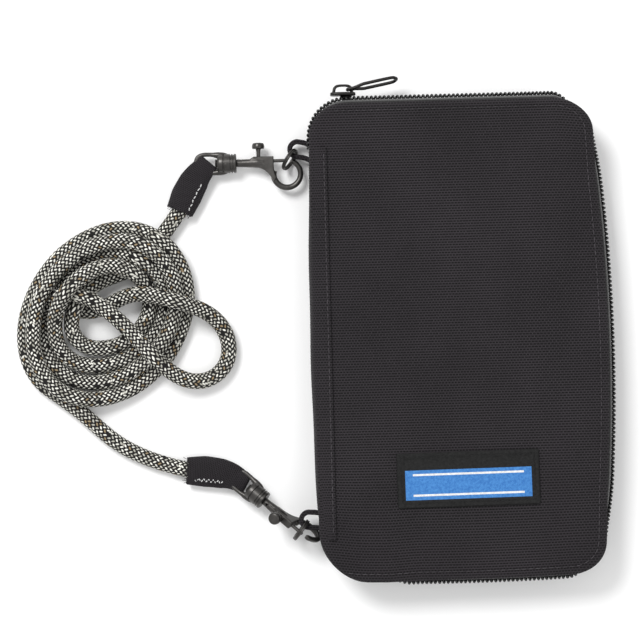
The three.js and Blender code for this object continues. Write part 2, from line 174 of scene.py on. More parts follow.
class Shader:
    """One material with a Principled shader, and short calls that add and link nodes to it."""

    def __init__(self, name, specular=0.5, **values):
        self.material = bpy.data.materials.new(name)
        self.material.use_nodes = True
        self.tree = self.material.node_tree
        self.surface = self.tree.nodes["Principled BSDF"]
        self.set("Specular IOR Level", specular)
        for key, value in values.items():
            self.set(key.replace("_", " ").title(), value)

    def fill(self, socket, value):
        if isinstance(value, Value):
            self.tree.links.new(value.socket, socket)
        else:
            socket.default_value = value

    def set(self, socket, value):
        self.fill(self.surface.inputs[socket], value)

    def node(self, kind, inputs=(), output=0, **settings):
        node = self.tree.nodes.new(kind)
        for key, value in settings.items():
            setattr(node, key, value)
        for key, value in dict(inputs).items():
            self.fill(node.inputs[key], value)
        return Value(self, node.outputs[output])

    def parts(self, vector):
        """A vector's three parts, each as a value."""
        split = self.node("ShaderNodeSeparateXYZ", {0: vector})
        return [Value(self, part) for part in split.socket.node.outputs]

    def uv(self, layer="cloth"):
        return self.parts(self.node("ShaderNodeUVMap", uv_map=layer))[:2]

    def place(self):
        return self.node("ShaderNodeTexCoord", output=3)

    def joined(self, x, y):
        return self.node("ShaderNodeCombineXYZ", {0: x, 1: y})

    def random(self, x, y):
        return self.node("ShaderNodeTexWhiteNoise", {"Vector": self.joined(x, y)})

    def noise(self, vector, scale, detail=2.0, roughness=0.5):
        inputs = {"Vector": vector, "Scale": scale, "Detail": detail, "Roughness": roughness}
        return self.node("ShaderNodeTexNoise", inputs)

    def finish(self, colour, height, distance, strength):
        """Sets the surface's colour and its bump, and gives the finished material."""
        self.set("Base Color", colour)
        inputs = {"Height": height, "Distance": distance, "Strength": strength}
        self.set("Normal", self.node("ShaderNodeBump", inputs))
        return self.material


def grey(level, warm=0.0):
    return (level * (1 + warm), level, level * (1 - warm), 1)


# ---------- line and mesh helpers ----------
def together(*parts):
    """Coordinates put side by side as points. A single number is repeated for each point."""
    return np.stack(np.broadcast_arrays(*parts), axis=-1)


def unit(vectors):
    return vectors / np.linalg.norm(vectors, axis=-1, keepdims=True)


def looked_up(value, table):
    """Reads a table of keys and values, on straight lines between its keys."""
    return np.interp(value, list(table), list(table.values()))


def smooth_step(value, low, high):
    share = np.clip((value - low) / (high - low), 0, 1)
    return share * share * (3 - 2 * share)


def hump(value, middle, width):
    """A smooth bump that is 1 at the middle and fades over the width to both sides."""
    return np.exp(-((value - middle) / width) ** 2)


def lengths_along(line):
    """How far along a line each of its points lies."""
    return np.concatenate([[0], np.cumsum(np.linalg.norm(np.diff(line, axis=0), axis=1))])


def read_along(places, marks, line):
    """The points of a line at the given places, where marks are the places of its own points."""
    return together(*(np.interp(places, marks, part) for part in line.T))


def resampled(points, step):
    """A smooth line through the points, cut into even steps of about the given length."""
    points = np.asarray(points, float)
    ends = np.vstack([2 * points[0] - points[1], points, 2 * points[-1] - points[-2]])
    pieces = []
    for a, b, c, d in zip(ends, ends[1:], ends[2:], ends[3:]):
        t = np.linspace(0, 1, 12, endpoint=False)[:, None]
        pieces.append(0.5 * (2 * b + (c - a) * t + (2 * a - 5 * b + 4 * c - d) * t ** 2
                             + (3 * b - a - 3 * c + d) * t ** 3))
    line = np.vstack(pieces + [points[-1:]])
    marks = lengths_along(line)
    return read_along(np.linspace(0, marks[-1], max(2, round(marks[-1] / step) + 1)), marks, line)


def outward_of(line):
    """Unit vectors to the left of a flat line at each point."""
    slope = unit(np.gradient(line, axis=0))
    return together(-slope[:, 1], slope[:, 0])


def frames_along(line):
    """Two unit vectors across a line at each point, carried along it without twist."""
    tangent = unit(np.gradient(line, axis=0))
    side = np.cross(tangent[0], UP)
    sides = []
    for direction in tangent:
        side = unit(side - direction * side.dot(direction))
        sides.append(side)
    return np.array(sides), np.cross(tangent, sides)


def circles(line, size, sides):
    """A circle of points round each point of a line, as far out as size says."""
    side, over = frames_along(line)
    turn = (np.arange(sides) * FULL_TURN / sides)[:, None]
    return line[:, None] + (np.cos(turn) * side[:, None] + np.sin(turn) * over[:, None]) * size


def add_object(name, vertices, faces, material, uvs=None, layer="cloth"):
    """A mesh object from points in millimetres. uvs holds one pair for each face corner."""
    mesh = bpy.data.meshes.new(name)
    mesh.from_pydata(np.asarray(vertices, float) * MM, [], faces)
    if uvs is not None:
        mesh.uv_layers.new(name=layer).data.foreach_set("uv", np.asarray(uvs, np.float32).ravel())
    shell = bmesh.new()
    shell.from_mesh(mesh)
    bmesh.ops.recalc_face_normals(shell, faces=shell.faces)
    shell.to_mesh(mesh)
    shell.free()
    mesh.polygons.foreach_set("use_smooth", [True] * len(mesh.polygons))
    mesh.materials.append(material)
    mesh.update()
    return in_scene(name, mesh)


def grid_faces(rows, columns, ring=False):
    """Quads over closed loops of points stored row by row. A ring's last loop joins its first."""
    row, column = np.meshgrid(np.arange(rows if ring else rows - 1), np.arange(columns), indexing="ij")
    after, below = (column + 1) % columns, (row + 1) % rows
    corners = together(row * columns + column, row * columns + after, below * columns + after,
                       below * columns + column)
    return corners.reshape(-1, 4).tolist()


def ladder(first, count):
    """Quads that close a thin loop of points, each joining one side of the loop to the other."""
    last = first + count - 1
    return [[first + step, first + step + 1, last - step - 1, last - step] for step in range(count // 2 - 1)]


def sweep(loops, ring=False, thin=False):
    """Vertices and faces of a closed surface through rows of closed loops."""
    rows, columns = loops.shape[:2]
    faces = grid_faces(rows, columns, ring)
    last = (rows - 1) * columns
    if thin:
        faces += ladder(0, columns) + ladder(last, columns)
    elif not ring:
        faces += [list(range(columns))[::-1], list(range(last, last + columns))]
    return loops.reshape(-1, 3), faces


def swept(name, loops, material, uv=None, thin=False):
    """An object from closed loops. UVs are x and y in millimetres unless given point by point."""
    vertices, faces = sweep(loops, thin=thin)
    place = vertices[:, :2] if uv is None else uv.reshape(-1, 2)
    return add_object(name, vertices, faces, material, place[[corner for face in faces for corner in face]])


def gathered(*lumps):
    """Several lumps as one list of vertices and one of faces."""
    vertices, faces, count = [], [], 0
    for points, polygons in lumps:
        vertices.append(points)
        faces += [[corner + count for corner in polygon] for polygon in polygons]
        count += len(points)
    return np.vstack(vertices), faces


def wire(centre, radius, sides=12, ring=False):
    """A round wire along a line; radius is one number or one for each point."""
    return sweep(circles(np.asarray(centre, float), np.reshape(radius, (-1, 1, 1)), sides), ring)


def finished(thing, body, slot, *nodes, matrix=None):
    """Puts a piece in its frame, says what it rides on and hides the CAD it stands for; its finish, slot, is
    not used.
    """
    if matrix is not None:
        thing.data.transform(matrix)
    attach(thing, body)
    if nodes:
        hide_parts(*nodes)
    return thing


def rotation(degrees, axis):
    return Matrix.Rotation(math.radians(degrees), 4, axis)


def shift(point):
    """A move by a distance given in millimetres."""
    return Matrix.Translation(Vector(point) * MM)


# ---------- neck cord ----------
CORD_DIAMETER = 6.2
CORD_RADIUS = CORD_DIAMETER / 2
CORD_SAMPLE = 2.5
LEVEL_HEIGHT = CORD_DIAMETER + 0.6
STRANGER_DISTANCE = 2.2 * CORD_DIAMETER
NO_LENGTH = 1e-9
SETTLE_ROUNDS = 360
SETTLE_DROP = 0.1
SETTLE_LAST_ROUNDS = 80
SETTLE_LAST_DROP = 0.02
SETTLE_LOOK_EVERY = 6
SETTLE_NEAR = 2.5
SETTLE_PUSHES = 3
SETTLE_PIN = 0.08
SETTLE_EASE = 0.5
SETTLE_SIDEWAYS = 0.3
BEND_RADIUS = 2.9 * CORD_DIAMETER
BEND_REACHES = (2, 3)
BEND_EASE = 0.3
UPPER_LEAD = [
    (-106.3, 55.6, 0.1), (-108.6, 51.9, 0), (-111.4, 48.4, 0), (-114.3, 44.2, 0),
    (-118.4, 38.4, 0), (-124.4, 33.0, 0),
]
HEAP_CENTRE = (-138.5, 11.5)
HEAP_SKEW = 0.12
INNER_TURNS = {
    "first": 70, "last": 805,
    "across": {0: 19, 180: 15.4, 360: 19, 540: 21.2, 720: 25.2, 900: 29},
    "up": {90: 16.0, 270: 13.6, 450: 22.2, 630: 20.4, 810: 26.4},
    "levels": {70: 0.2, 120: 1.6, 190: 1.8, 270: 0.4, 360: 0, 410: 1.2, 450: 1.2, 500: 1.8,
               560: 1.6, 630: 0, 720: 0, 770: 1.2, 805: 0.4},
}
DIVE = [
    (-142.5, 37.0, 0), (-151.0, 34.6, 0), (-157.2, 28.6, 0), (-158.2, 20.6, 0),
    (-153.6, 14.2, 0), (-146.4, 11.8, 0), (-139.2, 14.2, 0.1), (-133.0, 19.0, 0.5),
    (-126.8, 21.6, 1.3), (-120.4, 20.4, 2.1), (-114.4, 18.4, 2.4), (-108.2, 16.4, 2.2),
]
SIDE_BIGHT = [
    (-101.3, 14.2, 1.2), (-94.9, 11.0, 0.1), (-89.8, 4.6, 0), (-88.1, -3, 0), (-89.8, -9.8, 0),
    (-94.9, -14.7, 0), (-101.5, -16.6, 0.6),
]
DIAGONAL = [
    (-107.6, -15.6, 1.5), (-113.2, -12.2, 2.0), (-118.4, -6.4, 2.2), (-123.2, -0.4, 2.2),
    (-128.4, 5.5, 2.0), (-134.0, 11.3, 1.8), (-140.2, 16.8, 1.8), (-147.0, 21.2, 1.7),
    (-154.6, 22.6, 1.5), (-161.4, 19.8, 1.1), (-165.4, 13.8, 0.7),
]
OUTER_TURNS = {
    "first": 195, "last": 945,
    "across": {180: 26.4, 360: 29.2, 540: 29.4, 720: 32.8, 900: 33.4, 1080: 33.6},
    "up": {90: 26, 270: 27.2, 450: 30.8, 630: 33.8, 810: 35.8, 990: 35},
    "levels": {195: 0.3, 240: 0, 270: 0, 360: 1.1, 410: 2.0, 450: 1.1, 540: 1.2, 590: 1.1, 640: 0.2, 720: 0,
               770: 1.0, 810: 0.3, 900: 0, 940: 0},
}
LOWER_LEAD = [
    (-159.4, -18.2, 0), (-154.0, -21.9, 0), (-149.6, -25.4, 0), (-146.0, -29.2, 0),
    (-142.1, -33.3, 0), (-136.7, -38.6, 0), (-128.1, -43.6, 0), (-118.3, -47.4, 0),
    (-107.6, -50.3, 0.1), (-103.4, -51.0, 0.1),
]


def heap_turns(first, last, across, up, levels):
    """Points round the heap, which the strand passes at the given reaches each quarter turn."""
    points = []
    for degrees in np.arange(first, last + 1, 10):
        angle = math.radians(degrees)
        right = looked_up(degrees, across) * math.cos(angle)
        up_by = looked_up(degrees, up) * math.sin(angle)
        x = HEAP_CENTRE[0] + right + HEAP_SKEW * up_by
        y = HEAP_CENTRE[1] + up_by + HEAP_SKEW * right
        points.append((x, y, looked_up(degrees, levels)))
    return points


def planned_cord():
    """The cord's plan with its rough height: each level is a little over a cord thickness."""
    route = (UPPER_LEAD + heap_turns(**INNER_TURNS) + DIVE + SIDE_BIGHT + DIAGONAL
             + heap_turns(**OUTER_TURNS) + LOWER_LEAD)
    points = np.array(route, float)
    points[:, 2] = CORD_RADIUS + points[:, 2] * LEVEL_HEIGHT
    return resampled(points, CORD_SAMPLE)


def relax_bends(line):
    """Opens every bend that is tighter than the limp cord takes, in place."""
    for reach in BEND_REACHES:
        middle = (line[:-2 * reach] + line[2 * reach:]) / 2
        sag = line[reach:-reach] - middle
        deep = np.linalg.norm(sag, axis=1)
        most = (reach * CORD_SAMPLE) ** 2 / (2 * BEND_RADIUS)
        move = sag * np.maximum(0, 1 - most / (deep + NO_LENGTH))[:, None] * BEND_EASE
        line[reach:-reach] -= move
        line[:-2 * reach] += move / 2
        line[2 * reach:] += move / 2


def smoothed(line):
    """Each point moved to the mean of the five about it, with the line's ends run on straight."""
    before, after = 2 * line[0] - line[1], 2 * line[-1] - line[-2]
    wide = np.vstack([2 * before - line[0], before, line, after, 2 * after - line[-1]])
    return (wide[:-4] + wide[1:-3] + wide[2:-2] + wide[3:-1] + wide[4:]) / 5


def push_apart(line, first, second):
    """Moves strands that run into each other apart, mostly up and down, and keeps them off the floor."""
    offset = line[first] - line[second]
    deep = np.maximum(0, CORD_DIAMETER - np.linalg.norm(offset, axis=1))
    offset[:, :2] *= SETTLE_SIDEWAYS
    push = offset / (np.linalg.norm(offset, axis=1) + NO_LENGTH)[:, None] * deep[:, None] / 2
    touching = np.bincount(first, deep > 0, len(line)) + np.bincount(second, deep > 0, len(line))
    move = np.zeros_like(line)
    np.add.at(move, first, push)
    np.add.at(move, second, -push)
    line += move / np.sqrt(np.maximum(1, touching))[:, None]
    line[:, 2] = np.maximum(line[:, 2], CORD_RADIUS)


def settled(plan):
    """Lets the planned cord drop under its weight: strands rest on the floor and each other."""
    line = plan.copy()
    order = np.arange(len(line))
    strangers = np.triu(np.abs(order[:, None] - order[None, :]) * CORD_SAMPLE > STRANGER_DISTANCE)
    for turn in range(SETTLE_ROUNDS):
        if turn % SETTLE_LOOK_EVERY == 0:
            apart = np.linalg.norm(line[:, None] - line[None], axis=2)
            first, second = np.nonzero(strangers & (apart < CORD_DIAMETER + SETTLE_NEAR))
        line[:, 2] -= SETTLE_DROP if turn < SETTLE_ROUNDS - SETTLE_LAST_ROUNDS else SETTLE_LAST_DROP
        line[:, :2] += SETTLE_PIN * (plan[:, :2] - line[:, :2])
        line += SETTLE_EASE * (smoothed(line) - line)
        relax_bends(line)
        for _ in range(SETTLE_PUSHES):
            push_apart(line, first, second)
        line[0], line[-1] = plan[0], plan[-1]
    return line


BRAID_COLUMNS = 16
BRAID_ROW = 1.02
BRAID_RELIEF = 0.12
BRAID_SLANT = 0.8
BRAID_STRAY_SHARE = 0.03
BRAID_TAN_SHARE = 0.06
# The first tone is painted shade for the crevices between stitches; the bright cream is partly a painted
# highlight.
BRAID_TONES = {
    "gap": grey(0.012), "dark": grey(0.016, 0.05), "tan": (0.3, 0.23, 0.14, 1),
    "dull_cream": (0.24, 0.23, 0.19, 1), "bright_cream": (0.88, 0.87, 0.8, 1),
}
CORD_SIDES = 2 * BRAID_COLUMNS


def make_cord():
    centreline = settled(planned_cord())
    line = resampled(centreline, BRAID_ROW / 2)
    turns = np.arange(CORD_SIDES) / CORD_SIDES
    along = np.arange(len(line)) * BRAID_ROW / 2
    crown = np.sin(math.pi * ((turns * BRAID_COLUMNS) % 1))
    checker = np.cos(math.pi * (along[:, None] / BRAID_ROW * 2 + turns * BRAID_COLUMNS))
    radius = CORD_RADIUS - BRAID_RELIEF + BRAID_RELIEF * (crown + 0.5 * checker)
    vertices, faces = sweep(circles(line, radius[..., None], CORD_SIDES))
    row, column = np.divmod(np.arange((len(line) - 1) * CORD_SIDES), CORD_SIDES)
    left, right = column / CORD_SIDES, (column + 1) / CORD_SIDES
    low, high = along[row], along[row + 1]
    side_uvs = together(left, low, right, low, right, high, left, high).reshape(-1, 2)
    cap_uvs = np.zeros((2 * CORD_SIDES, 2))
    cord = add_object("neck_cord", vertices, faces, braid_material(), np.vstack([side_uvs, cap_uvs]), "braid")
    finished(cord, "back_half", "braid", "cord_heap", "cord_upper_lead", "cord_bight", "cord_lower_lead")


def braid_material():
    """A round braid: columns of short slanted stitches, black and cream with a few tan ones; painted shade
    darkens the crevices between stitches and the brightest cream stitches carry a painted highlight.
    """
    shader = Shader("braid", specular=0.15, roughness=0.85)
    around, along = shader.uv("braid")
    columns = around * BRAID_COLUMNS
    column = columns.whole()
    within = columns.fraction()
    lean = column % 2 * 2 - 1
    rows = lean * (within - 0.5) * BRAID_SLANT + along / BRAID_ROW
    row = rows.whole()
    cream_turn = (row + column) % 2 > 0.5
    stray = shader.random(column, row) > 1 - BRAID_STRAY_SHARE
    light = abs(cream_turn - stray)
    tan = (shader.random(row + 7, column) > 1 - BRAID_TAN_SHARE) * light
    body = (within * math.pi).sine() ** 0.8 * (rows.fraction() * math.pi).sine() ** 0.5
    fibre = shader.noise(shader.joined(columns * 9, rows), 2.2, 2.0, 0.6)
    # Random brightness of each cream stitch: partly its own tone, partly a painted highlight on the brightest
    # ones.
    tone_and_highlight = shader.random(row, column + 3) * 0.5 + fibre
    cream = tone_and_highlight.spread(0.4, 0.95).mix(BRAID_TONES["dull_cream"], BRAID_TONES["bright_cream"])
    stitch = tan.mix(light.mix(BRAID_TONES["dark"], cream), BRAID_TONES["tan"])
    # Painted shade: each stitch darkens towards its edges, into the crevices between stitches.
    colour = body.spread(0.25, 0.56).mix(BRAID_TONES["gap"], stitch)
    return shader.finish(colour, fibre * 0.25 + body, 0.00025, 0.8)


# ---------- cloth ----------
PANEL = {"left": -56.3, "right": 54.5, "half": 92.5, "spine_radii": (13.5, 18.5), "open_radius": 12}
LINING_OUTLINE = {"left": -50.3, "right": 48.5, "half": 86.5, "spine_radii": (10, 10), "open_radius": 6}
THICKNESS = 22.0
MIDDLE_Z = THICKNESS / 2
HALVES = {
    "back": {"body": "back_half", "outer": 0.35, "inner": 2.4, "outward": -1, "thread_proud": 0.02,
             "coil_z": 9.95, "tape_foot": 2.3},
    "front": {"body": "front_cover", "outer": THICKNESS, "inner": 19.6, "outward": 1, "thread_proud": 0.16,
              "coil_z": 12.05, "tape_foot": 19.7},
}
# The first tone is painted shade for the valleys between the canvas ribs.
CANVAS_TONES = {
    "gap": grey(0.0031), "deep": (0.0236, 0.0205, 0.0236, 1), "full": (0.0341, 0.0295, 0.0341, 1),
    "dots": (0.092, 0.0856, 0.092, 1),
}
RIB_PITCH = 1.015
RIB_HEIGHT = 0.045
RIB_STEP = RIB_PITCH / 4
WARP_PITCH = 0.61
FRONT_ROLL = 2.6
BACK_ROLL = 2.0
STITCH_INSET = 3.2
STITCH_SIDES = 6
STITCH_SHAPE = ((-0.5, -0.12, 0.35), (-0.4, 0.03, 0.85), (0, 0.1, 1), (0.4, 0.03, 0.85), (0.5, -0.12, 0.35))
SEAM_X = -49.5
CLOTH_THICKNESS = 0.7
SIDE_BOW = {"out": 4.2, "middle_y": -8, "half": 78, "from_x": 20, "to_x": 56}
OPEN_CORNER = {"x": (41, 54), "y": (56, 92), "top_move": (1.9, -1.1), "low_move": (1.2, -0.3)}
FOOT = {"y": (40, 92), "drop": 0.9, "bow": 1.3, "half": 54, "bulge": 0.9, "rise": (16, 32), "fall": (38, 54)}


def canvas_material():
    """Ribbed cotton duck: thick weft ribs along the first UV axis, crossed by fine warp dots, with painted
    shade in the valleys between the ribs.
    """
    shader = Shader("canvas", specular=0.18, roughness=0.95, sheen_weight=0.03, sheen_roughness=0.5)
    across, along = shader.uv()
    rib_turn = along * (math.pi / RIB_PITCH)
    rib = abs(rib_turn.cosine())
    checker = (across * (math.pi / WARP_PITCH)).sine() * rib_turn.sine()
    thread = shader.noise(shader.joined(across * 0.35, along), 3.1, 3.0, 0.65)
    lumps = shader.noise(shader.place(), 900.0, 3.0, 0.6)
    broad = shader.noise(shader.place(), 32.0, 3.0, 0.55)
    dots = checker.spread(0.35, 0.85) * thread.spread(0.36, 0.58)
    base = broad.spread(0.3, 0.7).mix(CANVAS_TONES["deep"], CANVAS_TONES["full"])
    # Painted shade: the colour darkens into the valleys between the ribs.
    base = (rib ** 2).mix(CANVAS_TONES["gap"], base)
    height = lumps * 0.5 + checker.spread(-0.2, 1.0) * 0.7 + rib ** 0.8
    return shader.finish((dots * 0.42).mix(base, CANVAS_TONES["dots"]), height, 0.00024, 0.8)


def fine_cloth_material(name, colour, scale=2600.0, roughness=0.6, sheen=0.0):
    """A fine even weave for thread or inner cloth, laid by place so that it needs no UVs."""
    shader = Shader(name, specular=0.25, roughness=roughness, sheen_weight=sheen)
    place = shader.place()
    waves = [(part * (scale * 4)).sine() for part in shader.parts(place)]
    weave = (waves[0] + waves[2]) * waves[1]
    grain = shader.noise(place, scale, 3.0, 0.6)
    tone = weave * 0.18 + shader.noise(place, 60.0, 2.0, 0.5) * 0.5 + grain * 0.5
    deep, pale = ((*(part * share for part in colour[:3]), 1) for share in (0.6, 1.5))
    return shader.finish(tone.spread(0.3, 0.75).mix(deep, pale), weave * 0.35 + grain, 0.00015, 0.6)


def corner_radii(y, outline):
    """The spine side's corner radius at each y, which may differ between its top and bottom."""
    top, low = outline["spine_radii"]
    return np.where(y > 0, top, low)


def sides_at(y, outline):
    """The outline's left and right edges at each y."""
    edges = []
    for radius, edge, inward in ((corner_radii(y, outline), outline["left"], 1),
                                 (outline["open_radius"], outline["right"], -1)):
        past = np.clip(np.abs(y) - (outline["half"] - radius), 0, radius)
        edges.append(edge + inward * (radius - np.sqrt(radius ** 2 - past ** 2)))
    return edges


def edge_distance(x, y, outline):
    """How far inside the rounded outline each point lies."""
    left, right, half = outline["left"], outline["right"], outline["half"]
    distance = np.minimum(np.minimum(x - left, right - x), half - np.abs(y))
    for radius, edge, side in ((corner_radii(y, outline), left, -1), (outline["open_radius"], right, 1)):
        dx = side * (x - edge) + radius
        dy = np.abs(y) - (half - radius)
        corner = radius - np.hypot(dx, dy)
        distance = np.where((dx > 0) & (dy > 0), corner, distance)
    return np.maximum(distance, 0)


def edge_roll(distance, radius):
    """How far a rolled edge falls at each distance inside its outline."""
    reach = np.clip(radius - distance, 0, radius)
    return radius - np.sqrt(radius ** 2 - reach ** 2 * 0.98)


def ribs(y):
    return RIB_HEIGHT * np.cos(FULL_TURN * y / RIB_PITCH)


def front_relief(x, y):
    """Height of the outer canvas over the plain panel plane: rolled edge, soft crown, stitch groove."""
    distance = edge_distance(x, y, PANEL)
    crown = 0.55 * smooth_step(distance, 0, 26) - 0.35 - 0.6 * edge_roll(distance, FRONT_ROLL)
    waves = 0.10 * np.sin(x / 15 + 0.7) * np.sin(y / 21 + 1.1) + 0.06 * np.sin(x / 8 + y / 13)
    groove = -0.16 * hump(distance, STITCH_INSET, 0.5)
    pinch = 0.06 * np.sin(FULL_TURN * (x + y) / 9.5) * hump(distance, 1.8, 1.4)
    sewn = smooth_step(x, SEAM_X + 2, SEAM_X + 7)
    return crown + waves * smooth_step(distance, 0, 12) + (groove + pinch) * sewn + ribs(y)


def back_relief(x, y):
    """The back canvas: flat where the wallet rests, rolled up at its edge."""
    distance = edge_distance(x, y, PANEL)
    return 0.2 - 0.75 * edge_roll(distance, BACK_ROLL) - 0.2 * hump(distance, STITCH_INSET, 0.5) + ribs(y)


def plate_rows(outline, step):
    """Row positions across a plate: even in the middle and close together round its corners."""
    half = outline["half"]
    turn = np.radians(np.arange(0, 91, 5))
    radii = (*outline["spine_radii"], outline["open_radius"], FRONT_ROLL)
    ends = np.concatenate([half - radius * (1 - np.cos(turn)) for radius in radii])
    rows = np.unique(np.round(np.concatenate([np.arange(-half + step, half, step), ends, -ends]), 2))
    return rows[np.append(True, np.diff(rows) > 0.04)]


def cloth_plate(name, outline, outer_z, inner_z, relief, material, step, columns=64):
    """A closed flat cloth piece whose outer face follows relief, facing away from inner_z."""
    y = plate_rows(outline, step)[:, None]
    left, right = sides_at(y, outline)
    x = left + (right - left) * (0.5 - 0.5 * np.cos(np.pi * np.linspace(0, 1, columns)))
    back_x = left + (right - left) * np.linspace(1, 0, 10)
    face = together(x, y, outer_z + np.sign(outer_z - inner_z) * relief(x, y))
    return swept(name, np.concatenate([face, together(back_x, y, inner_z)], axis=1), material)


def near_open_corner(x, y):
    return smooth_step(x, *OPEN_CORNER["x"]) * smooth_step(y, *OPEN_CORNER["y"])


def near_foot(y):
    return smooth_step(-y, *FOOT["y"])


def bowed(thing):
    """Lets the soft edges leave their straight lines: the open side and the foot bow outwards."""
    points = np.zeros(len(thing.data.vertices) * 3, np.float32)
    thing.data.vertices.foreach_get("co", points)
    points = points.reshape(-1, 3) / MM
    x, y = points[:, 0].copy(), points[:, 1].copy()
    side = SIDE_BOW["out"] * (1 - ((y - SIDE_BOW["middle_y"]) / SIDE_BOW["half"]) ** 2)
    points[:, 0] += side * smooth_step(x, SIDE_BOW["from_x"], SIDE_BOW["to_x"])
    for move, end in (("top_move", 1), ("low_move", -1)):
        points[:, :2] += near_open_corner(x, end * y)[:, None] * OPEN_CORNER[move]
    bulge = FOOT["bulge"] * smooth_step(-x, *FOOT["rise"]) * (1 - smooth_step(-x, *FOOT["fall"]))
    points[:, 1] -= (FOOT["drop"] + FOOT["bow"] * (1 - (x / FOOT["half"]) ** 2) + bulge) * near_foot(y)
    thing.data.vertices.foreach_set("co", (points * MM).astype(np.float32).ravel())
    thing.data.update()
    return thing


def stitch_line(name, points, heights, material, pitch=2.7, length=2.1, radius=0.19, up=1):
    """Sewn thread along a line: one small arched bead per stitch, standing up (1) or down (-1)."""
    line = np.column_stack([points, np.broadcast_to(heights, len(points))])
    marks = lengths_along(line)
    place, rise, girth = np.array(STITCH_SHAPE).T
    turn = (np.arange(STITCH_SIDES) * FULL_TURN / STITCH_SIDES)[:, None]
    beads = []
    for centre in np.arange(pitch / 2, marks[-1], pitch):
        bead = read_along(centre + place * length, marks, line)
        side = np.cross(unit(bead[-1] - bead[0]), UP)
        middle = bead + rise[:, None] * up * UP
        around = (np.cos(turn) * side + np.sin(turn) * UP) * radius
        beads.append(sweep(middle[:, None] + around * girth[:, None, None]))
    return add_object(name, *gathered(*beads), material)


def outline_points(outline, inset, from_x, step=0.5):
    """The outline moved inwards, from its top edge at from_x round the open side to the bottom."""
    half, radius, right = (outline[key] - inset for key in ("half", "open_radius", "right"))
    turn = np.radians(np.arange(90, -1, -4))
    corner = together(right - radius + radius * np.cos(turn), half - radius + radius * np.sin(turn))
    upper = np.vstack([together(np.arange(from_x, right - radius, step), half), corner])
    side = together(right, np.arange(half - radius, radius - half, -step))
    return np.vstack([upper, side, upper[::-1] * (1, -1)])


def make_panels(canvas, thread):
    path = outline_points(PANEL, STITCH_INSET, SEAM_X + 3)
    for name, relief in (("front", front_relief), ("back", back_relief)):
        half = HALVES[name]
        plate = cloth_plate(f"{name}_canvas", PANEL, half["outer"], half["inner"], relief, canvas, RIB_STEP)
        finished(bowed(plate), half["body"], "canvas", f"{name}_panel")
        heights = half["outer"] + half["outward"] * (relief(*path.T) + half["thread_proud"])
        stitches = stitch_line(f"{name}_topstitch", path, heights, thread, up=half["outward"])
        finished(bowed(stitches), half["body"], "canvas")


# ---------- spine ----------
SPINE_TOP_Y = 75.0
SPINE_LOW_Y = -77.5
SPINE_BOW = 1.5
HOOK_DENT = {"deep": 1.2, "y": -77.5, "reach": 6}
SPINE_TURN_IN = np.array([(0.3, 0.4), (0.5, 1.2), (0.5, 2.3)])
SPINE_OUTER = [
    (SEAM_X, 22.42), (SEAM_X - 0.35, 22.62), (-51.5, 22.55), (-53.5, 22.3), (-55.2, 21.7), (-56.5, 20.5),
    (-57.2, 18.6), (-57.6, 16), (-57.8, 13.2), (-57.8, 9.5), (-57.6, 6.6), (-57.2, 4.2), (-56.4, 2.0),
    (-55.0, 0.7), (-53.2, 0.15), (-51.4, 0.02), (SEAM_X, 0.0),
]
SPINE_SEAM_Z = 22.62


def spine_profile():
    """The spine's cross-section as its outer face and, going back, its inner face."""
    outer = resampled([(x, 0, z) for x, z in SPINE_OUTER], 0.7)[:, [0, 2]]
    inner = outer + outward_of(outer) * CLOTH_THICKNESS * 0.9
    return outer, inner[::-1]


def make_spine(canvas, thread):
    outer, inner = spine_profile()
    profile = np.vstack([outer, inner])
    around = lengths_along(profile)
    past, turned_in = SPINE_TURN_IN.T
    y = np.arange(SPINE_LOW_Y, SPINE_TOP_Y, RIB_STEP)
    y = np.concatenate([y[0] - past[::-1], y, y[-1] + past])
    length = SPINE_TOP_Y - SPINE_LOW_Y
    bow = SPINE_BOW * (2 * (y - SPINE_LOW_Y) / length - 1) ** 2
    bow += HOOK_DENT["deep"] * hump(y, HOOK_DENT["y"], HOOK_DENT["reach"])
    bow[: len(past)] += turned_in[::-1]
    bow[-len(past):] += turned_in
    x, z = profile.T
    y, bow = y[:, None], bow[:, None]
    depth = smooth_step(-x, -SEAM_X + 1, 57)
    outside = np.arange(len(profile)) < len(outer)
    x = x + (bow + 0.12 * np.sin(y / 7)) * depth - ribs(y) * depth * outside
    z = z + ribs(y) * (1 - depth) * outside * (z > MIDDLE_Z)
    loops = together(x, y, np.maximum(z, 0))
    spine = swept("spine_canvas", loops, canvas, uv=together(around, y), thin=True)
    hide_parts("spine")
    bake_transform(spine)
    seam = together(SEAM_X - 1.2, np.arange(SPINE_LOW_Y + 2, SPINE_TOP_Y - 1, 0.5))
    finished(stitch_line("spine_topstitch", seam, SPINE_SEAM_Z, thread), "front_cover", "canvas")


# ---------- zip ----------
ZIP = {"left": -54, "right": 54.5, "half": 92.5, "top": 13, "open": 12, "low": 19.5}
TEETH_PITCH = 1.7
TEETH_MIDDLE = 2.25
COIL_REACH = {"out": 0.7, "up": 1.0}
COIL_WIRE = 0.42
COIL_POINTS = 12
CORNER_TUCK = 2.8
FOOT_TUCK = 3.4
TAPE_STEP = 0.8
TAPE_PROFILE = (
    (-0.25, 0), (0.3, 1.2), (0.75, 3.2), (0.95, 5.4), (1.0, 7.2), (1.05, 8.2),
    (1.75, 8.2), (1.7, 7.0), (1.55, 5.2), (1.3, 3.2), (0.85, 1.2), (0.35, 0),
)


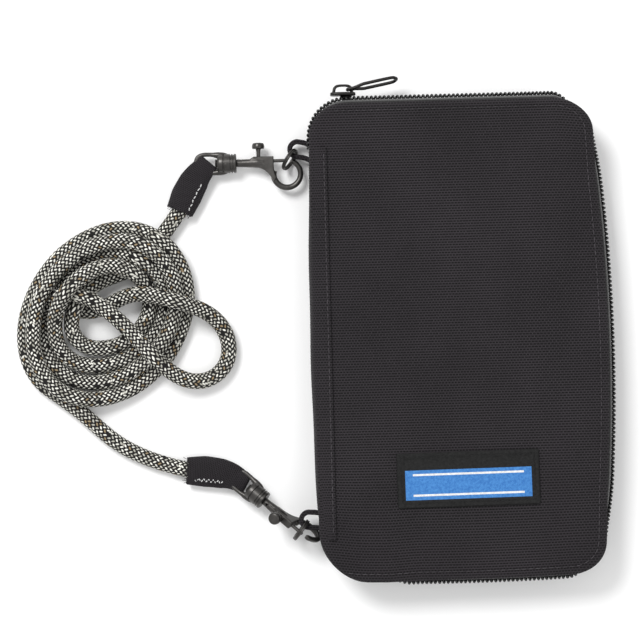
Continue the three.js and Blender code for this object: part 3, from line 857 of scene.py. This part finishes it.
def zip_line(offset, lead, low_short, step):
    """The zip's run, from a straight lead by the spine round the open sides to the bottom corner."""
    points = [[(ZIP["left"] - offset, ZIP["half"] - ZIP["top"] - lead)]]
    turns = (("left", "top", 1, 180, 90), ("right", "open", 1, 90, 0), ("right", "open", -1, 0, -90),
             ("left", "low", -1, -90, low_short - 180))
    for edge, corner, end, start, finish in turns:
        radius = ZIP[corner]
        x = ZIP[edge] + (radius if edge == "left" else -radius)
        turn = np.radians(np.linspace(start, finish, 26))
        reach = radius + offset
        points.append(together(x + reach * np.cos(turn), end * (ZIP["half"] - radius) + reach * np.sin(turn)))
    line = np.vstack(points)
    marks = lengths_along(line)
    return tucked(read_along(np.arange(0, marks[-1], step), marks, line))


def tucked(line):
    """Draws the zip in under the canvas at the two open corners and at the foot's spine end."""
    x, y = line.T
    corner = CORNER_TUCK * near_open_corner(x, np.abs(y))
    foot = (FOOT["drop"] + FOOT_TUCK * smooth_step(-x, 20, 32)) * near_foot(y)
    return together(x - corner, y - np.sign(y) * corner + foot)


def zip_coil(name, middle_z, material):
    line = zip_line(TEETH_MIDDLE, 3.8, 32, TEETH_PITCH / COIL_POINTS)
    turn = np.arange(len(line)) * FULL_TURN / COIL_POINTS
    centre = line + outward_of(line) * (COIL_REACH["out"] * np.cos(turn))[:, None]
    centre = np.column_stack([centre, middle_z + COIL_REACH["up"] * np.sin(turn)])
    return add_object(name, *wire(centre, COIL_WIRE, 6), material)


def zip_tape(name, profile, material):
    """A woven tape: its closed cross-section is (outwards, z) points carried along the zip."""
    line = zip_line(0, 5.2, 13, TAPE_STEP)
    out, z = np.array(profile, float).T
    flat = line[:, None] + outward_of(line)[:, None] * out[:, None]
    along = (np.arange(len(line)) * TAPE_STEP)[:, None]
    uv = together(along, lengths_along(np.array(profile)))
    return swept(name, together(flat[..., 0], flat[..., 1], z), material, uv=uv)


def tape_material():
    shader = Shader("zip_tape", roughness=0.8, sheen_weight=0.15)
    along, across = shader.uv()
    rows = along * 2.2 + (across * 1.6).zigzag(1.0)
    grain = shader.noise(shader.place(), 1400.0, 2.0, 0.6)
    tone = rows.zigzag(0.5) * 1.2 + grain * 0.5
    return shader.finish(tone.spread(0.2, 0.9).mix(grey(0.008), grey(0.026)), tone, 0.0002, 0.6)


def teeth_material():
    shader = Shader("zip_teeth", roughness=0.42)
    grain = shader.noise(shader.place(), 700.0, 2.0, 0.5)
    return shader.finish(grain.mix(grey(0.007), grey(0.02)), grain, 0.00006, 0.4)


def make_zip():
    tape, teeth = tape_material(), teeth_material()
    for side, half in HALVES.items():
        profile = [(out, half["tape_foot"] - half["outward"] * rise) for out, rise in TAPE_PROFILE]
        band = zip_tape(f"{side}_woven_tape", profile[::-half["outward"]], tape)
        finished(bowed(band), half["body"], "zip_tape", f"{side}_zip_tape")
        coil = zip_coil(f"{side}_coil_teeth", half["coil_z"], teeth)
        finished(bowed(coil), half["body"], "zip_teeth", f"{side}_zip_teeth")


# ---------- metal hardware ----------
METAL_WARMTH = 0.05
SLIDER_X = -42.5
PLATE_Y = {"low": 96.1, "high": 97.3}
BAIL_RISE = 2.6
BAIL_SPAN = 3.6
PULL = {"at": (-40.6, 98.4, 11), "length": 21, "half_width": 2.4, "wire": 0.65, "tilt_deg": 11, "lean": 0.27}
RING = {"radius": 4.4, "wire": 0.43, "spread": 0.36}
RING_LOOP = {"reach": 3.0, "thickness": 1.0, "half_height": 1.9, "root_x": -54.8}
HOOK = {"centre": (5.2, -4.7), "reach": 5.35, "wire": 1.12, "from_deg": 165, "to_deg": 430}
BOLT_Y = 0.6
COLLAR = {"from": -22.4, "to": -14.8, "radius": 3.8, "bore": 1.7}
EYE_FAR = COLLAR["from"] - 8.4
SPRING = {"from": -12.8, "to": -7.5, "radius": 0.6, "wire": 0.15, "turns": 9}
BOLT_STUD_X = -6
STRAP_ENDS = {
    "upper": {
        "ring_end": (-61.65, 75.5, 5.4), "heading": (-0.557, -0.83, 0), "loop_centre": (-61, 75.8),
        "loop_droop": 2.2, "ring_lean_deg": 13,
        "snap_at": (-70.5, 70.9, 5), "turn": 0, "pitch": 0, "roll": 0,
        "tab": ((-97.0, 70.6), (-101.2, 65.8), (-104.9, 59.6), (-108.2, 52.6)),
        "stitches": ((7.5, -3.3), (20.6, -3.4)), "stitch_count": 8, "zigzag": 0.22, "fray_seed": 7,
    },
    "lower": {
        "ring_end": (-60.6, -71.1, 10.1), "heading": (-0.62, -0.785, 0), "loop_centre": (-60.2, -70.6),
        "loop_droop": 0.6, "ring_lean_deg": 0,
        "snap_at": (-66.8, -72.4, 10.5), "turn": -41.1, "pitch": 12, "roll": 110,
        "tab": ((-85.6, -55.7), (-91.4, -52.6), (-99.4, -51.0), (-107.9, -50.4)),
        "stitches": ((8.4, -3.4), (20.6, -3.4)), "stitch_count": 13, "zigzag": 0.65, "fray_seed": 8,
    },
}


def metal_material(name, level, roughness):
    """Dark plated metal: soft clouding, fine orange-peel, and small brighter rubbed patches."""
    shader = Shader(name, metallic=0.75)
    place = shader.place()
    cloud = shader.noise(place, 260.0, 4.0, 0.6)
    rubbed = shader.noise(place, 620.0, 5.0, 0.7).spread(0.6, 0.72)
    deep, full, bright = (grey(level * share, METAL_WARMTH) for share in (0.7, 1.3, 3.2))
    colour = (rubbed * 0.45).mix(cloud.spread(0.3, 0.7).mix(deep, full), bright)
    shader.set("Roughness", cloud.spread(0.25, 0.75, roughness - 0.07, roughness + 0.1))
    return shader.finish(colour, shader.noise(place, 1900.0, 2.0, 0.5), 0.00004, 0.35)


def turned(profile, axis, origin=(0, 0, 0), sides=32, ring=False):
    """A lump turned on a lathe about the X or Y axis from (along, radius) points."""
    turn = np.arange(sides) * FULL_TURN / sides
    along, radius = np.array(profile, float).T[..., None]
    across = radius * np.cos(turn)
    parts = (along, across) if axis == "X" else (across, along)
    return sweep(together(*parts, radius * np.sin(turn)) + np.array(origin, float), ring)


def prism(outline, levels):
    """A lump from a flat (x, y) outline stacked at (z, scale) levels about its middle."""
    outline = np.array(outline, float)
    middle = outline.mean(axis=0)
    loops = np.zeros((len(levels), len(outline), 3))
    for row, (z, scale) in enumerate(levels):
        loops[row, :, :2] = middle + (outline - middle) * scale
        loops[row, :, 2] = z
    return sweep(loops)


def with_modifiers(thing, *steps):
    """Adds modifiers given as (kind, settings) and makes their result the object's mesh."""
    for kind, settings in steps:
        modifier = thing.modifiers.new(kind.lower(), kind)
        for key, value in settings.items():
            setattr(modifier, key, value)
    bpy.context.view_layer.update()
    evaluated = thing.evaluated_get(bpy.context.evaluated_depsgraph_get())
    mesh = bpy.data.meshes.new_from_object(evaluated)
    thing.modifiers.clear()
    thing.data = mesh
    mesh.polygons.foreach_set("use_smooth", [True] * len(mesh.polygons))


def cast(name, lumps, material, voxel=0.2, hollow=None):
    """Fuses overlapping lumps into one smooth casting, less the hollow lumps."""
    thing = add_object(name, *gathered(*lumps), material)
    remesh = ("REMESH", {"mode": "VOXEL", "voxel_size": voxel * MM})
    smooth = ("SMOOTH", {"factor": 0.5, "iterations": 4})
    if hollow is None:
        with_modifiers(thing, remesh, smooth)
        return thing
    tool = add_object(name + "_hollow", *gathered(*hollow), material)
    carve = ("BOOLEAN", {"operation": "DIFFERENCE", "object": tool, "solver": "EXACT"})
    with_modifiers(thing, remesh, carve, remesh, smooth)
    bpy.data.objects.remove(tool)
    return thing


def quad_curve(start, control, finish, steps=10):
    t = np.linspace(0, 1, steps)[1:, None]
    start, control, finish = (np.array(p, float) for p in (start, control, finish))
    return ((1 - t) ** 2 * start + 2 * t * (1 - t) * control + t ** 2 * finish).tolist()


def block(low, high):
    """A plain box lump, used only inside castings."""
    (x0, y0, z0), (x1, y1, z1) = low, high
    return prism([(x0, y0), (x1, y0), (x1, y1), (x0, y1)], [(z0, 1), (z1, 1)])


def slider_outline():
    half = 5
    low = [(-half, -2.6)] + quad_curve((-half, -2.6), (-half + 0.4, -4.3), (-1.5, -4.3), 7)
    low += [(half - 1.2, -3)] + quad_curve((half - 1.2, -3), (half, -2.8), (half, -1.6), 5)
    return low + [(x, -y) for x, y in low[::-1]]


def make_slider(metal):
    crown = [(-0.6, 0.93), (-0.42, 1.0), (0.3, 1.0), (0.55, 0.95), (0.62, 0.85)]
    points, faces = prism(slider_outline(), crown)
    plate_y = (PLATE_Y["low"] + PLATE_Y["high"]) / 2
    lumps = [
        (points[:, [0, 2, 1]] + (0, plate_y, 0), faces),
        block((-0.5, 91, -2.8), (5, 92, 2.8)),
        block((0, 91.5, -0.2), (3, 96.6, 0.2)),
        block((-1, 94.8, -3.3), (3.5, 96.6, -2.3)),
    ]
    slider = cast("zip_slider_casting", lumps, metal, voxel=0.15)
    finished(slider, "zip_slider", "black_metal", "zip_slider", matrix=shift((SLIDER_X, 0, MIDDLE_Z)))
    foot_y = PLATE_Y["high"] + 0.1
    rise = [(-1, 0), (-0.86, 0.7), (-0.45, 1), (0.45, 1), (0.86, 0.7), (1, 0)]
    line = resampled([(SLIDER_X + BAIL_SPAN * x, foot_y + BAIL_RISE * y, MIDDLE_Z) for x, y in rise], 0.3)
    taper = 0.5 + 0.14 * np.abs(np.linspace(-1, 1, len(line)))
    bail = add_object("slider_bail_wire", *wire(line, taper), metal)
    finished(bail, "zip_slider", "black_metal", "slider_bail")


def closed_line(points, step):
    """A smooth closed line through the points, without the repeated last point."""
    points = list(points)
    wide = resampled(points[-3:] + points + points[:4], step)
    start = int(np.argmin(np.linalg.norm(wide - points[0], axis=1)))
    near_end = start + int(np.argmin(np.linalg.norm(wide[start + 8:] - points[0], axis=1))) + 8
    return wide[start:near_end]


def make_pull(metal):
    half, far, bend = PULL["half_width"], PULL["length"] - 2 * PULL["wire"], 1.1
    side = [(0, half - bend), (bend * 0.3, half - bend * 0.3), (bend, half), (far * 0.5, half + 0.3),
            (far - 2.2, half + 0.2), (far - 0.5, half - 1)]
    points = [(0, 0, 0)] + [(x, 0, z) for x, z in side] + [(far, 0, 0)] + [(x, 0, -z) for x, z in side[::-1]]
    line = closed_line(np.array(points, float), 0.35)
    line[:, 1] += PULL["lean"] * line[:, 2] * smooth_step(line[:, 0], 2, 7)
    pull = add_object("zip_pull_wire", *wire(line, PULL["wire"], 14, ring=True), metal)
    finished(pull, "zip_pull", "black_metal", "zip_pull",
             matrix=shift(PULL["at"]) @ rotation(PULL["tilt_deg"], "Z"))


def snap_matrix(place, roll):
    """From the snap's own frame, with its shaft along X, to the wallet's."""
    heading = rotation(place["turn"], "Z") @ rotation(-place["pitch"], "Y")
    return shift(place["snap_at"]) @ heading @ rotation(roll, "X")


def snap_lumps():
    """The snap's open hook, its body, its neck and its swivel stem."""
    angle = np.radians(np.linspace(HOOK["from_deg"], HOOK["to_deg"], 60))
    centre_x, centre_y = HOOK["centre"]
    bow = together(centre_x + HOOK["reach"] * np.cos(angle), centre_y + HOOK["reach"] * np.sin(angle), 0)
    share = np.linspace(0, 1, len(angle))
    thick = HOOK["wire"] * np.where(share > 0.97, 0.8, 1) * (1.12 - 0.16 * share)
    outline = [(-9.4, -1.5), (-9.4, 1.5), (-8, 2.4), (0, 2.4), (0, -2)]
    outline += quad_curve((0, -2), (0.2, -4.4), (0.9, -6.2)) + [(0, -7.6)]
    outline += quad_curve((0, -7.6), (-2.6, -2.6), (-6.4, -1.9))
    start, end = COLLAR["from"], COLLAR["to"]
    neck = [(end + 0.3, 1.55), (-12.5, 1.6), (-9.5, 1.85), (-6.5, 2.1), (-4, 1.9)]
    stem = [(start - 0.9, 1.2), (start - 0.75, 1.7), (start - 0.35, 1.9), (start - 0.3, 1.4), (end + 1, 1.4)]
    body = prism(outline, [(-1.6, 0.95), (-1.3, 1), (1.3, 1), (1.6, 0.95)])
    return [wire(bow, thick, 16), body, turned(neck, "X"), turned(stem, "X")]


def snap_hollow():
    """The bore that the bolt slides in, and the slot that its stud runs along."""
    bore = turned([(-13.2, 0.95), (1, 0.95)], "X", (0, BOLT_Y, 0), 20)
    return [bore, block((-12.4, BOLT_Y, -0.95), (-3.9, 3.2, 0.95))]


def bolt_lumps():
    """The thumb bolt: a pin along the bore, and a stud that stands out of the slot."""
    pin = [(-7.2, 0.6), (-7.1, 0.7), (5.2, 0.7), (5.5, 0.55), (5.6, 0.3)]
    stem = [(BOLT_Y, 0.8), (3.4, 0.8), (4.6, 0.85), (5.8, 1.1)]
    stud = [(5.5, 2.1), (5.62, 2.4), (6.3, 2.5), (7.3, 2.35), (7.75, 2.0), (7.9, 1.2)]
    return [
        turned(pin, "X", (0, BOLT_Y, 0), 20),
        turned(stem, "Y", (BOLT_STUD_X, 0, 0), 20),
        turned(stud, "Y", (BOLT_STUD_X, 0, 0)),
    ]


def eye_lumps():
    """The swivel's grooved collar, and the wire eye that the cord tab wraps."""
    start, end, radius, bore = COLLAR["from"], COLLAR["to"], COLLAR["radius"], COLLAR["bore"]
    groove = radius - 0.45
    profile = [(start, bore), (start, groove - 0.2), (start + 0.35, groove + 0.2), (start + 0.8, radius)]
    for middle in (start + 2.5, end - 2.2, end - 1.2):
        profile += [(middle - 0.32, radius), (middle - 0.18, groove)]
        profile += [(middle + 0.18, groove), (middle + 0.32, radius)]
    profile += [(end - 0.3, radius), (end, radius - 0.3), (end, bore)]
    arm = [(end - 1.4, 2.7), (start + 3, 3.1), (start + 1, 3.3), (start - 0.8, 3.5), (start - 3, 3.7),
           (EYE_FAR + 2.6, 3.6), (EYE_FAR + 0.6, 2.5)]
    points = [(x, y, 0) for x, y in arm] + [(EYE_FAR, 0, 0)] + [(x, -y, 0) for x, y in arm[::-1]]
    line = resampled(points, 0.4)
    size = 0.85 + 0.45 * smooth_step(line[:, 0], start - 2.5, start + 1)
    size -= 0.75 * smooth_step(line[:, 0], start + 2, end - 1.6)
    return turned(profile, "X", sides=48, ring=True), wire(line, size, 16)


def ring_wire(place):
    """A split ring: two close turns of wire that step past each other once."""
    heading = unit(np.array(place["heading"]))
    across = np.cross(heading, UP)
    angle = np.radians(np.arange(8, 714, 6))[:, None]
    step = RING["spread"] * (2 * smooth_step(angle, math.pi * 1.82, math.pi * 2.18) - 1)
    lean = math.radians(place["ring_lean_deg"])
    stand = math.cos(lean) * UP + math.sin(lean) * across
    aside = math.cos(lean) * across - math.sin(lean) * UP
    out = np.cos(angle) * heading + np.sin(angle) * stand
    centre = np.array(place["ring_end"]) + heading * RING["radius"]
    return wire(centre + RING["radius"] * out + step * aside, RING["wire"], 12)


def ring_loop(place):
    """The narrow canvas band sewn into the spine that the ring hangs in."""
    x, y = place["loop_centre"]
    reach, root_x, droop = RING_LOOP["reach"], RING_LOOP["root_x"], place["loop_droop"]
    middle_x = (root_x + x) / 2
    line = [(root_x, y + reach - droop), (middle_x, y + reach - 0.3 * droop)]
    line += [(x + reach * math.cos(a), y + reach * math.sin(a)) for a in np.radians(np.arange(90, 271, 12))]
    line += [(middle_x, y - reach - 0.3 * droop), (root_x, y - reach - droop)]
    line = resampled([(px, py, place["ring_end"][2]) for px, py in line], 0.35)
    normal = np.cross(unit(np.gradient(line, axis=0)), UP)
    corner = np.radians(np.arange(0, 360, 20))[:, None]
    thin = RING_LOOP["thickness"] * np.sign(np.cos(corner)) * np.abs(np.cos(corner)) ** 0.6
    tall = RING_LOOP["half_height"] * np.sign(np.sin(corner)) * np.abs(np.sin(corner)) ** 0.5
    return line[:, None] + normal[:, None] * thin + tall * UP


def make_spring(side, snap, metal):
    turn = np.linspace(0, SPRING["turns"] * FULL_TURN, SPRING["turns"] * 14)
    along = np.linspace(SPRING["from"] + 0.2, SPRING["to"] - 0.2, len(turn))
    coil = together(along, BOLT_Y + SPRING["radius"] * np.cos(turn), SPRING["radius"] * np.sin(turn))
    spring = add_object(f"{side}_spring_coil", *wire(coil, SPRING["wire"], 8), metal)
    finished(spring, f"{side}_snap", "gunmetal", f"{side}_bolt_spring", matrix=snap)
    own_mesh(spring)


def make_strap_end(side, metal, canvas, white):
    place = STRAP_ENDS[side]
    snap = snap_matrix(place, place["roll"])
    casting = cast(f"{side}_snap_casting", snap_lumps(), metal, 0.2, snap_hollow())
    finished(casting, f"{side}_snap", "gunmetal", f"{side}_snap_hook", matrix=snap)
    bolt = cast(f"{side}_bolt_casting", bolt_lumps(), metal, 0.15)
    finished(bolt, f"{side}_bolt", "gunmetal", f"{side}_thumb_bolt", matrix=snap)
    make_spring(side, snap, metal)
    collar = add_object(f"{side}_eye_and_collar", *gathered(*eye_lumps()), metal)
    collar.data.set_sharp_from_angle(angle=math.radians(35))
    finished(collar, "back_half", "gunmetal", f"{side}_swivel_eye", matrix=snap_matrix(place, 0))
    ring = add_object(f"{side}_split_ring", *ring_wire(place), metal)
    finished(ring, f"{side}_ring", "gunmetal", f"{side}_ring")
    band = swept(f"{side}_canvas_loop", ring_loop(place), canvas)
    finished(band, "back_half", "canvas", f"{side}_ring_loop")
    make_cord_tab(side, place, canvas, white)


# ---------- cord tabs ----------
TAB_CLOTH = 0.6
TAB_CORD_Z = 3.75
TAB_FLAP_STEP = 0.9
TAB_WEAVE = 1.5
TAB_HALF_WIDTHS = {0: 4.1, 0.12: 4.7, 0.4: 5.8, 0.7: 6.1, 1: 5.4}
TAB_HALF_HEIGHTS = {0: 1.55, 0.3: 2.0, 0.7: 3.2, 1: 3.6}
TAB_FLAP_EDGE = (-0.73, -0.69, -0.66)
TAB_HEM = 0.6
TAB_END_STEP = 1.5
TAB_THINNEST = 0.04


class CordTab:
    """A canvas strip folded over the swivel eye and sewn to the cord's end.

    Places on it are given along the tab from its fold and across it, in millimetres.
    """

    def __init__(self, place):
        self.line = resampled([(x, y, 0) for x, y in place["tab"]], 0.5)[:, :2]
        self.marks = lengths_along(self.line)
        self.length = self.marks[-1]
        self.across = -outward_of(self.line)
        eye = snap_matrix(place, 0) @ (Vector((EYE_FAR, 0, 0)) * MM)
        self.eye_z = eye.z / MM

    def from_table(self, s, table):
        return looked_up(np.clip(s / self.length, 0, 1), table)

    def half_width(self, s):
        return self.from_table(s, TAB_HALF_WIDTHS)

    def middle_z(self, s):
        return self.eye_z + (TAB_CORD_Z - self.eye_z) * smooth_step(s, 0, self.length * 0.6)

    def half_height(self, s, t):
        crown = (1 - np.minimum(np.abs(t), 1) ** 2.3) ** 0.75
        full = TAB_CLOTH + (self.from_table(s, TAB_HALF_HEIGHTS) - TAB_CLOTH) * crown
        ripple = 0.14 * np.sin(0.75 * s + 3.1 * t) * crown + 0.08 * np.sin(1.9 * s - 5 * t)
        flap = TAB_FLAP_STEP * (smooth_step(t, -0.72, -0.66) - 1) * smooth_step(s, 3, 9) * crown
        return full + ripple * smooth_step(s, 0, 4) + flap

    def point(self, s, v, z):
        """The place at s along and v across, on a line that runs on straight past both its ends."""
        centre = read_along(s, self.marks, self.line)
        first, last = unit(self.line[[0, -1]] - self.line[[1, -2]])
        centre += np.maximum(-s, 0)[..., None] * first + np.maximum(s - self.length, 0)[..., None] * last
        flat = centre + read_along(s, self.marks, self.across) * v[..., None]
        return together(flat[..., 0], flat[..., 1], z)

    def loops(self):
        """Closed sections from the rounded fold to the raw end, and back inside to the fold."""
        t = np.unique(np.append(np.linspace(-1, 1, 21), TAB_FLAP_EDGE))
        fold = self.half_height(0.0, np.zeros(1))[0]
        rows = [(-fold * math.sin(a), math.cos(a), 0.0) for a in np.radians((88, 70, 50, 30, 12))]
        rows += [(s, 1.0, 0.0) for s in np.arange(0, self.length, 0.5)]
        rows += [(self.length, 1.0, 0.0), (self.length + 0.1, 1.0, TAB_HEM / 2)]
        rows += [(self.length - 0.3, 1.0, TAB_HEM)]
        rows += [(s, 1.0, TAB_HEM) for s in np.arange(self.length - TAB_END_STEP, 2, -TAB_END_STEP)]
        ragged = 0.3 * np.sin(7.3 * t + 1) + 0.22 * np.sin(19 * t)
        loops, uvs = [], []
        for s, squeeze, inset in rows:
            width = self.half_width(s) - inset
            over, under = (np.maximum((self.half_height(s, way * t) - inset) * squeeze, TAB_THINNEST)
                           for way in (1, -1))
            end = ragged * smooth_step(s, self.length - TAB_END_STEP, self.length)
            top = self.point(s + end, t * width, self.middle_z(s) + over)
            low = self.point(s - end[::-1] * 0.7, t[::-1] * width, self.middle_z(s) - under[::-1])
            notch = np.array([width - 0.35, 0.35 - width])
            sides = self.point(np.full(2, float(s)), notch, self.middle_z(s))
            loops.append(np.vstack([top, sides[:1], low, sides[1:]]))
            uvs.append(together(np.concatenate([t, [1], t[::-1], [-1]]) * width, s) * TAB_WEAVE)
        return np.array(loops), np.array(uvs)

    def top(self, s, v):
        return self.middle_z(s) + self.half_height(s, v / self.half_width(s))


def tab_fray(tab, seed):
    """Loose threads at the tab's raw end."""
    chance = np.random.default_rng(seed)
    strands = []
    for v in np.linspace(-0.85, 0.85, 11) * tab.half_width(tab.length):
        reach = tab.length + np.array([-0.8, 0.3, 0.9 + chance.uniform(0, 1.0)])
        bend = v + np.array([0, chance.uniform(-0.2, 0.2), chance.uniform(-0.8, 0.8)])
        height = tab.top(tab.length, v) - 0.35 + np.array([0, 0.1, chance.uniform(-0.5, 0.5)])
        strands.append(wire(resampled(tab.point(reach, bend, height), 0.4), 0.09, 5))
    return gathered(*strands)


def make_cord_tab(side, place, canvas, white):
    tab = CordTab(place)
    loops, uvs = tab.loops()
    piece = swept(f"{side}_tab_canvas", loops, canvas, uv=uvs)
    finished(piece, "back_half", "canvas", f"{side}_cord_tab")
    count = place["stitch_count"]
    s, v = np.linspace(*place["stitches"], count).T
    v = v + place["zigzag"] * (-1.0) ** np.arange(count)
    path = tab.point(s, v, 0.0)[:, :2]
    leg = np.linalg.norm(path[1] - path[0])
    stitches = stitch_line(f"{side}_tab_stitches", path, tab.top(s, v) + 0.12, white, leg, leg * 0.72, 0.24)
    finished(stitches, "back_half", "canvas")
    fray = add_object(f"{side}_tab_fray", *tab_fray(tab, place["fray_seed"]), canvas)
    finished(fray, "back_half", "canvas")


# ---------- inside ----------
LININGS = {
    "back_half": {"outer": 3.5, "inner": 2.7, "node": "back_lining"},
    "front_cover": {"outer": 18.5, "inner": 19.3, "node": "front_lining"},
}
SLOT_HEIGHTS = (76, 66, 56)
SLOT_BASE_Z = 3.8
SLOT_RISE = 0.9
POCKET = {"half_width": 46, "foot": -82, "thickness": 0.6, "front_height": 120, "front_z": 17.6}
POCKET_REST = 0.1
POCKET_STEP = 1.5
LINING_STEP = 2.0
INSIDE_COLUMNS = 40
HEM = 6.0
HEM_SEAM = 1.2


def pocket_relief(height):
    """A pocket's face: a turned hem along its mouth, sunk seams and a gentle loose wave."""

    def relief(x, y):
        past_mouth = y - height / 2
        hem = 0.16 * smooth_step(past_mouth, -HEM - 0.3, -HEM + 0.3)
        seam = -0.1 * hump(past_mouth, HEM_SEAM - HEM, 0.5)
        loose = 0.12 * np.sin(x / 13 + 1) * np.sin((past_mouth / height + 1) * math.pi)
        edge = -0.25 * np.exp((np.abs(x) - POCKET["half_width"]) / 0.8)
        return 0.6 * (hem + seam + loose + edge)

    return relief


def make_pocket(name, node, height, low_z, body, cloth, thread):
    """A flat pocket sewn to a lining: the back half's open upwards and the front cover's downwards."""
    half, foot = POCKET["half_width"], POCKET["foot"]
    outline = {"left": -half, "right": half, "half": height / 2, "spine_radii": (2, 2), "open_radius": 2}
    outward = 1 if body == "back_half" else -1
    outer, inner = (low_z + POCKET["thickness"], low_z)[::outward]
    face_z = outer - POCKET_REST * outward
    piece = cloth_plate(name, outline, face_z, inner, pocket_relief(height), cloth,
                        POCKET_STEP, INSIDE_COLUMNS)
    finished(piece, body, "lining", node, matrix=shift((0, foot + height / 2, 0)))
    line = together(np.arange(-half + 2, half - 1.9, 0.5), foot + height - HEM + HEM_SEAM)
    finished(stitch_line(f"{name}_stitches", line, outer + 0.05 * outward, thread), body, "lining")


def lining_relief(x, y):
    return 0.05 * np.sin(x / 9) * np.sin(y / 12) - 0.1


def make_inside(cloth, thread):
    for body, place in LININGS.items():
        piece = cloth_plate(f"{body}_lining_cloth", LINING_OUTLINE, place["outer"], place["inner"],
                            lining_relief, cloth, LINING_STEP, INSIDE_COLUMNS)
        finished(bowed(piece), body, "lining", place["node"])
    for index, height in enumerate(SLOT_HEIGHTS):
        make_pocket(f"card_slot_cloth_{index + 1}", f"card_slot_{index + 1}", height,
                    SLOT_BASE_Z + SLOT_RISE * index, "back_half", cloth, thread)
    make_pocket("front_pocket_cloth", "front_pocket", POCKET["front_height"], POCKET["front_z"],
                "front_cover", cloth, thread)


# ---------- label ----------
LABEL = {
    "middle": (2.45, -55.3), "half_x": 27.8, "half_y": 10.85, "base": 22.25, "top": 23.0, "turn_deg": 0.6,
}
LABEL_BLOCK = {"half_x": 24.65, "low": -7.7, "high": 3.9}
LABEL_LINES = {"half_x": 21.65, "middles": (-5.9, 2.1), "half_width": 0.4}
LABEL_SEAM = 1.9
LABEL_STEP = 0.35
LABEL_COLUMNS = 150


def label_material():
    """A woven patch: a black ground, a plain blue block and two thin white lines."""
    shader = Shader("label", specular=0.2, roughness=0.8)
    x, y = shader.uv()
    block_area = (abs(x) < LABEL_BLOCK["half_x"]) * y.between(LABEL_BLOCK["low"], LABEL_BLOCK["high"])
    low, high = (abs(y - middle) < LABEL_LINES["half_width"] for middle in LABEL_LINES["middles"])
    line_area = (abs(x) < LABEL_LINES["half_x"]) * (low + high)
    weave = (y * (FULL_TURN / 0.28)).sine() * (y * 6 + x * (FULL_TURN / 0.36)).sine()
    grain = shader.noise(shader.place(), 1100.0, 3.0, 0.6)
    shade = (weave * 0.16 + grain).spread(0.25, 0.75)
    ground = shade.mix(grey(0.007), grey(0.021))
    blue = shade.mix((0.03, 0.14, 0.42, 1), (0.08, 0.27, 0.62, 1))
    white = shade.mix(grey(0.6), grey(0.9))
    colour = line_area.mix(block_area.mix(ground, blue), white)
    return shader.finish(colour, weave * 0.5 + grain, 0.00012, 0.7)


def make_label(cloth, thread):
    """The label patch, made about its own middle and then moved to its place on the cover."""
    half_x, half_y = LABEL["half_x"], LABEL["half_y"]
    outline = {"left": -half_x, "right": half_x, "half": half_y,
               "spine_radii": (1.0, 1.0), "open_radius": 1.0}

    def relief(x, y):
        distance = edge_distance(x, y, outline)
        hem = 0.22 * (1 - smooth_step(distance, 2.2, 2.8)) * smooth_step(distance, 0, 0.5)
        groove = -0.14 * hump(distance, LABEL_SEAM, 0.3)
        return hem + groove - 0.4 * np.exp(-distance / 0.22) + 0.05 * np.sin(x / 6) * np.sin(y / 5)

    place = shift((*LABEL["middle"], 0)) @ rotation(LABEL["turn_deg"], "Z")
    patch = cloth_plate("label_patch_cloth", outline, LABEL["top"], LABEL["base"], relief, cloth,
                        LABEL_STEP, LABEL_COLUMNS)
    finished(patch, "front_cover", "label", "label_patch", matrix=place)
    seam_x, seam_y = half_x - LABEL_SEAM, half_y - LABEL_SEAM
    corners = [(x * seam_x, y * seam_y, 0) for x, y in ((-1, -1), (1, -1), (1, 1), (-1, 1), (-1, -1))]
    path = np.vstack([resampled(side, 0.5) for side in zip(corners, corners[1:])])
    path = path[np.append(True, np.diff(lengths_along(path)) > 0.01)]
    stitches = stitch_line("label_stitches", path[:, :2], LABEL["top"] + 0.12, thread, 1.9, 1.4, 0.17)
    finished(stitches, "front_cover", "label", matrix=place)


# ---------- the whole wallet ----------
make_camera()
make_stage()
make_cord()
canvas = canvas_material()
black_thread = fine_cloth_material("black_thread", grey(0.012))
seam_thread = fine_cloth_material("seam_thread", (0.05, 0.045, 0.05, 1))
white_thread = fine_cloth_material("white_thread", grey(0.62))
lining_cloth = fine_cloth_material("lining", (0.03, 0.03, 0.034, 1), 1100.0, 0.85, 0.2)
gunmetal = metal_material("gunmetal", 0.056, 0.31)
black_metal = metal_material("black_metal", 0.022, 0.4)
make_panels(canvas, seam_thread)
make_spine(canvas, seam_thread)
make_zip()
make_slider(black_metal)
make_pull(black_metal)
for strap_end in STRAP_ENDS:
    make_strap_end(strap_end, gunmetal, canvas, white_thread)
make_inside(lining_cloth, black_thread)
make_label(label_material(), black_thread)
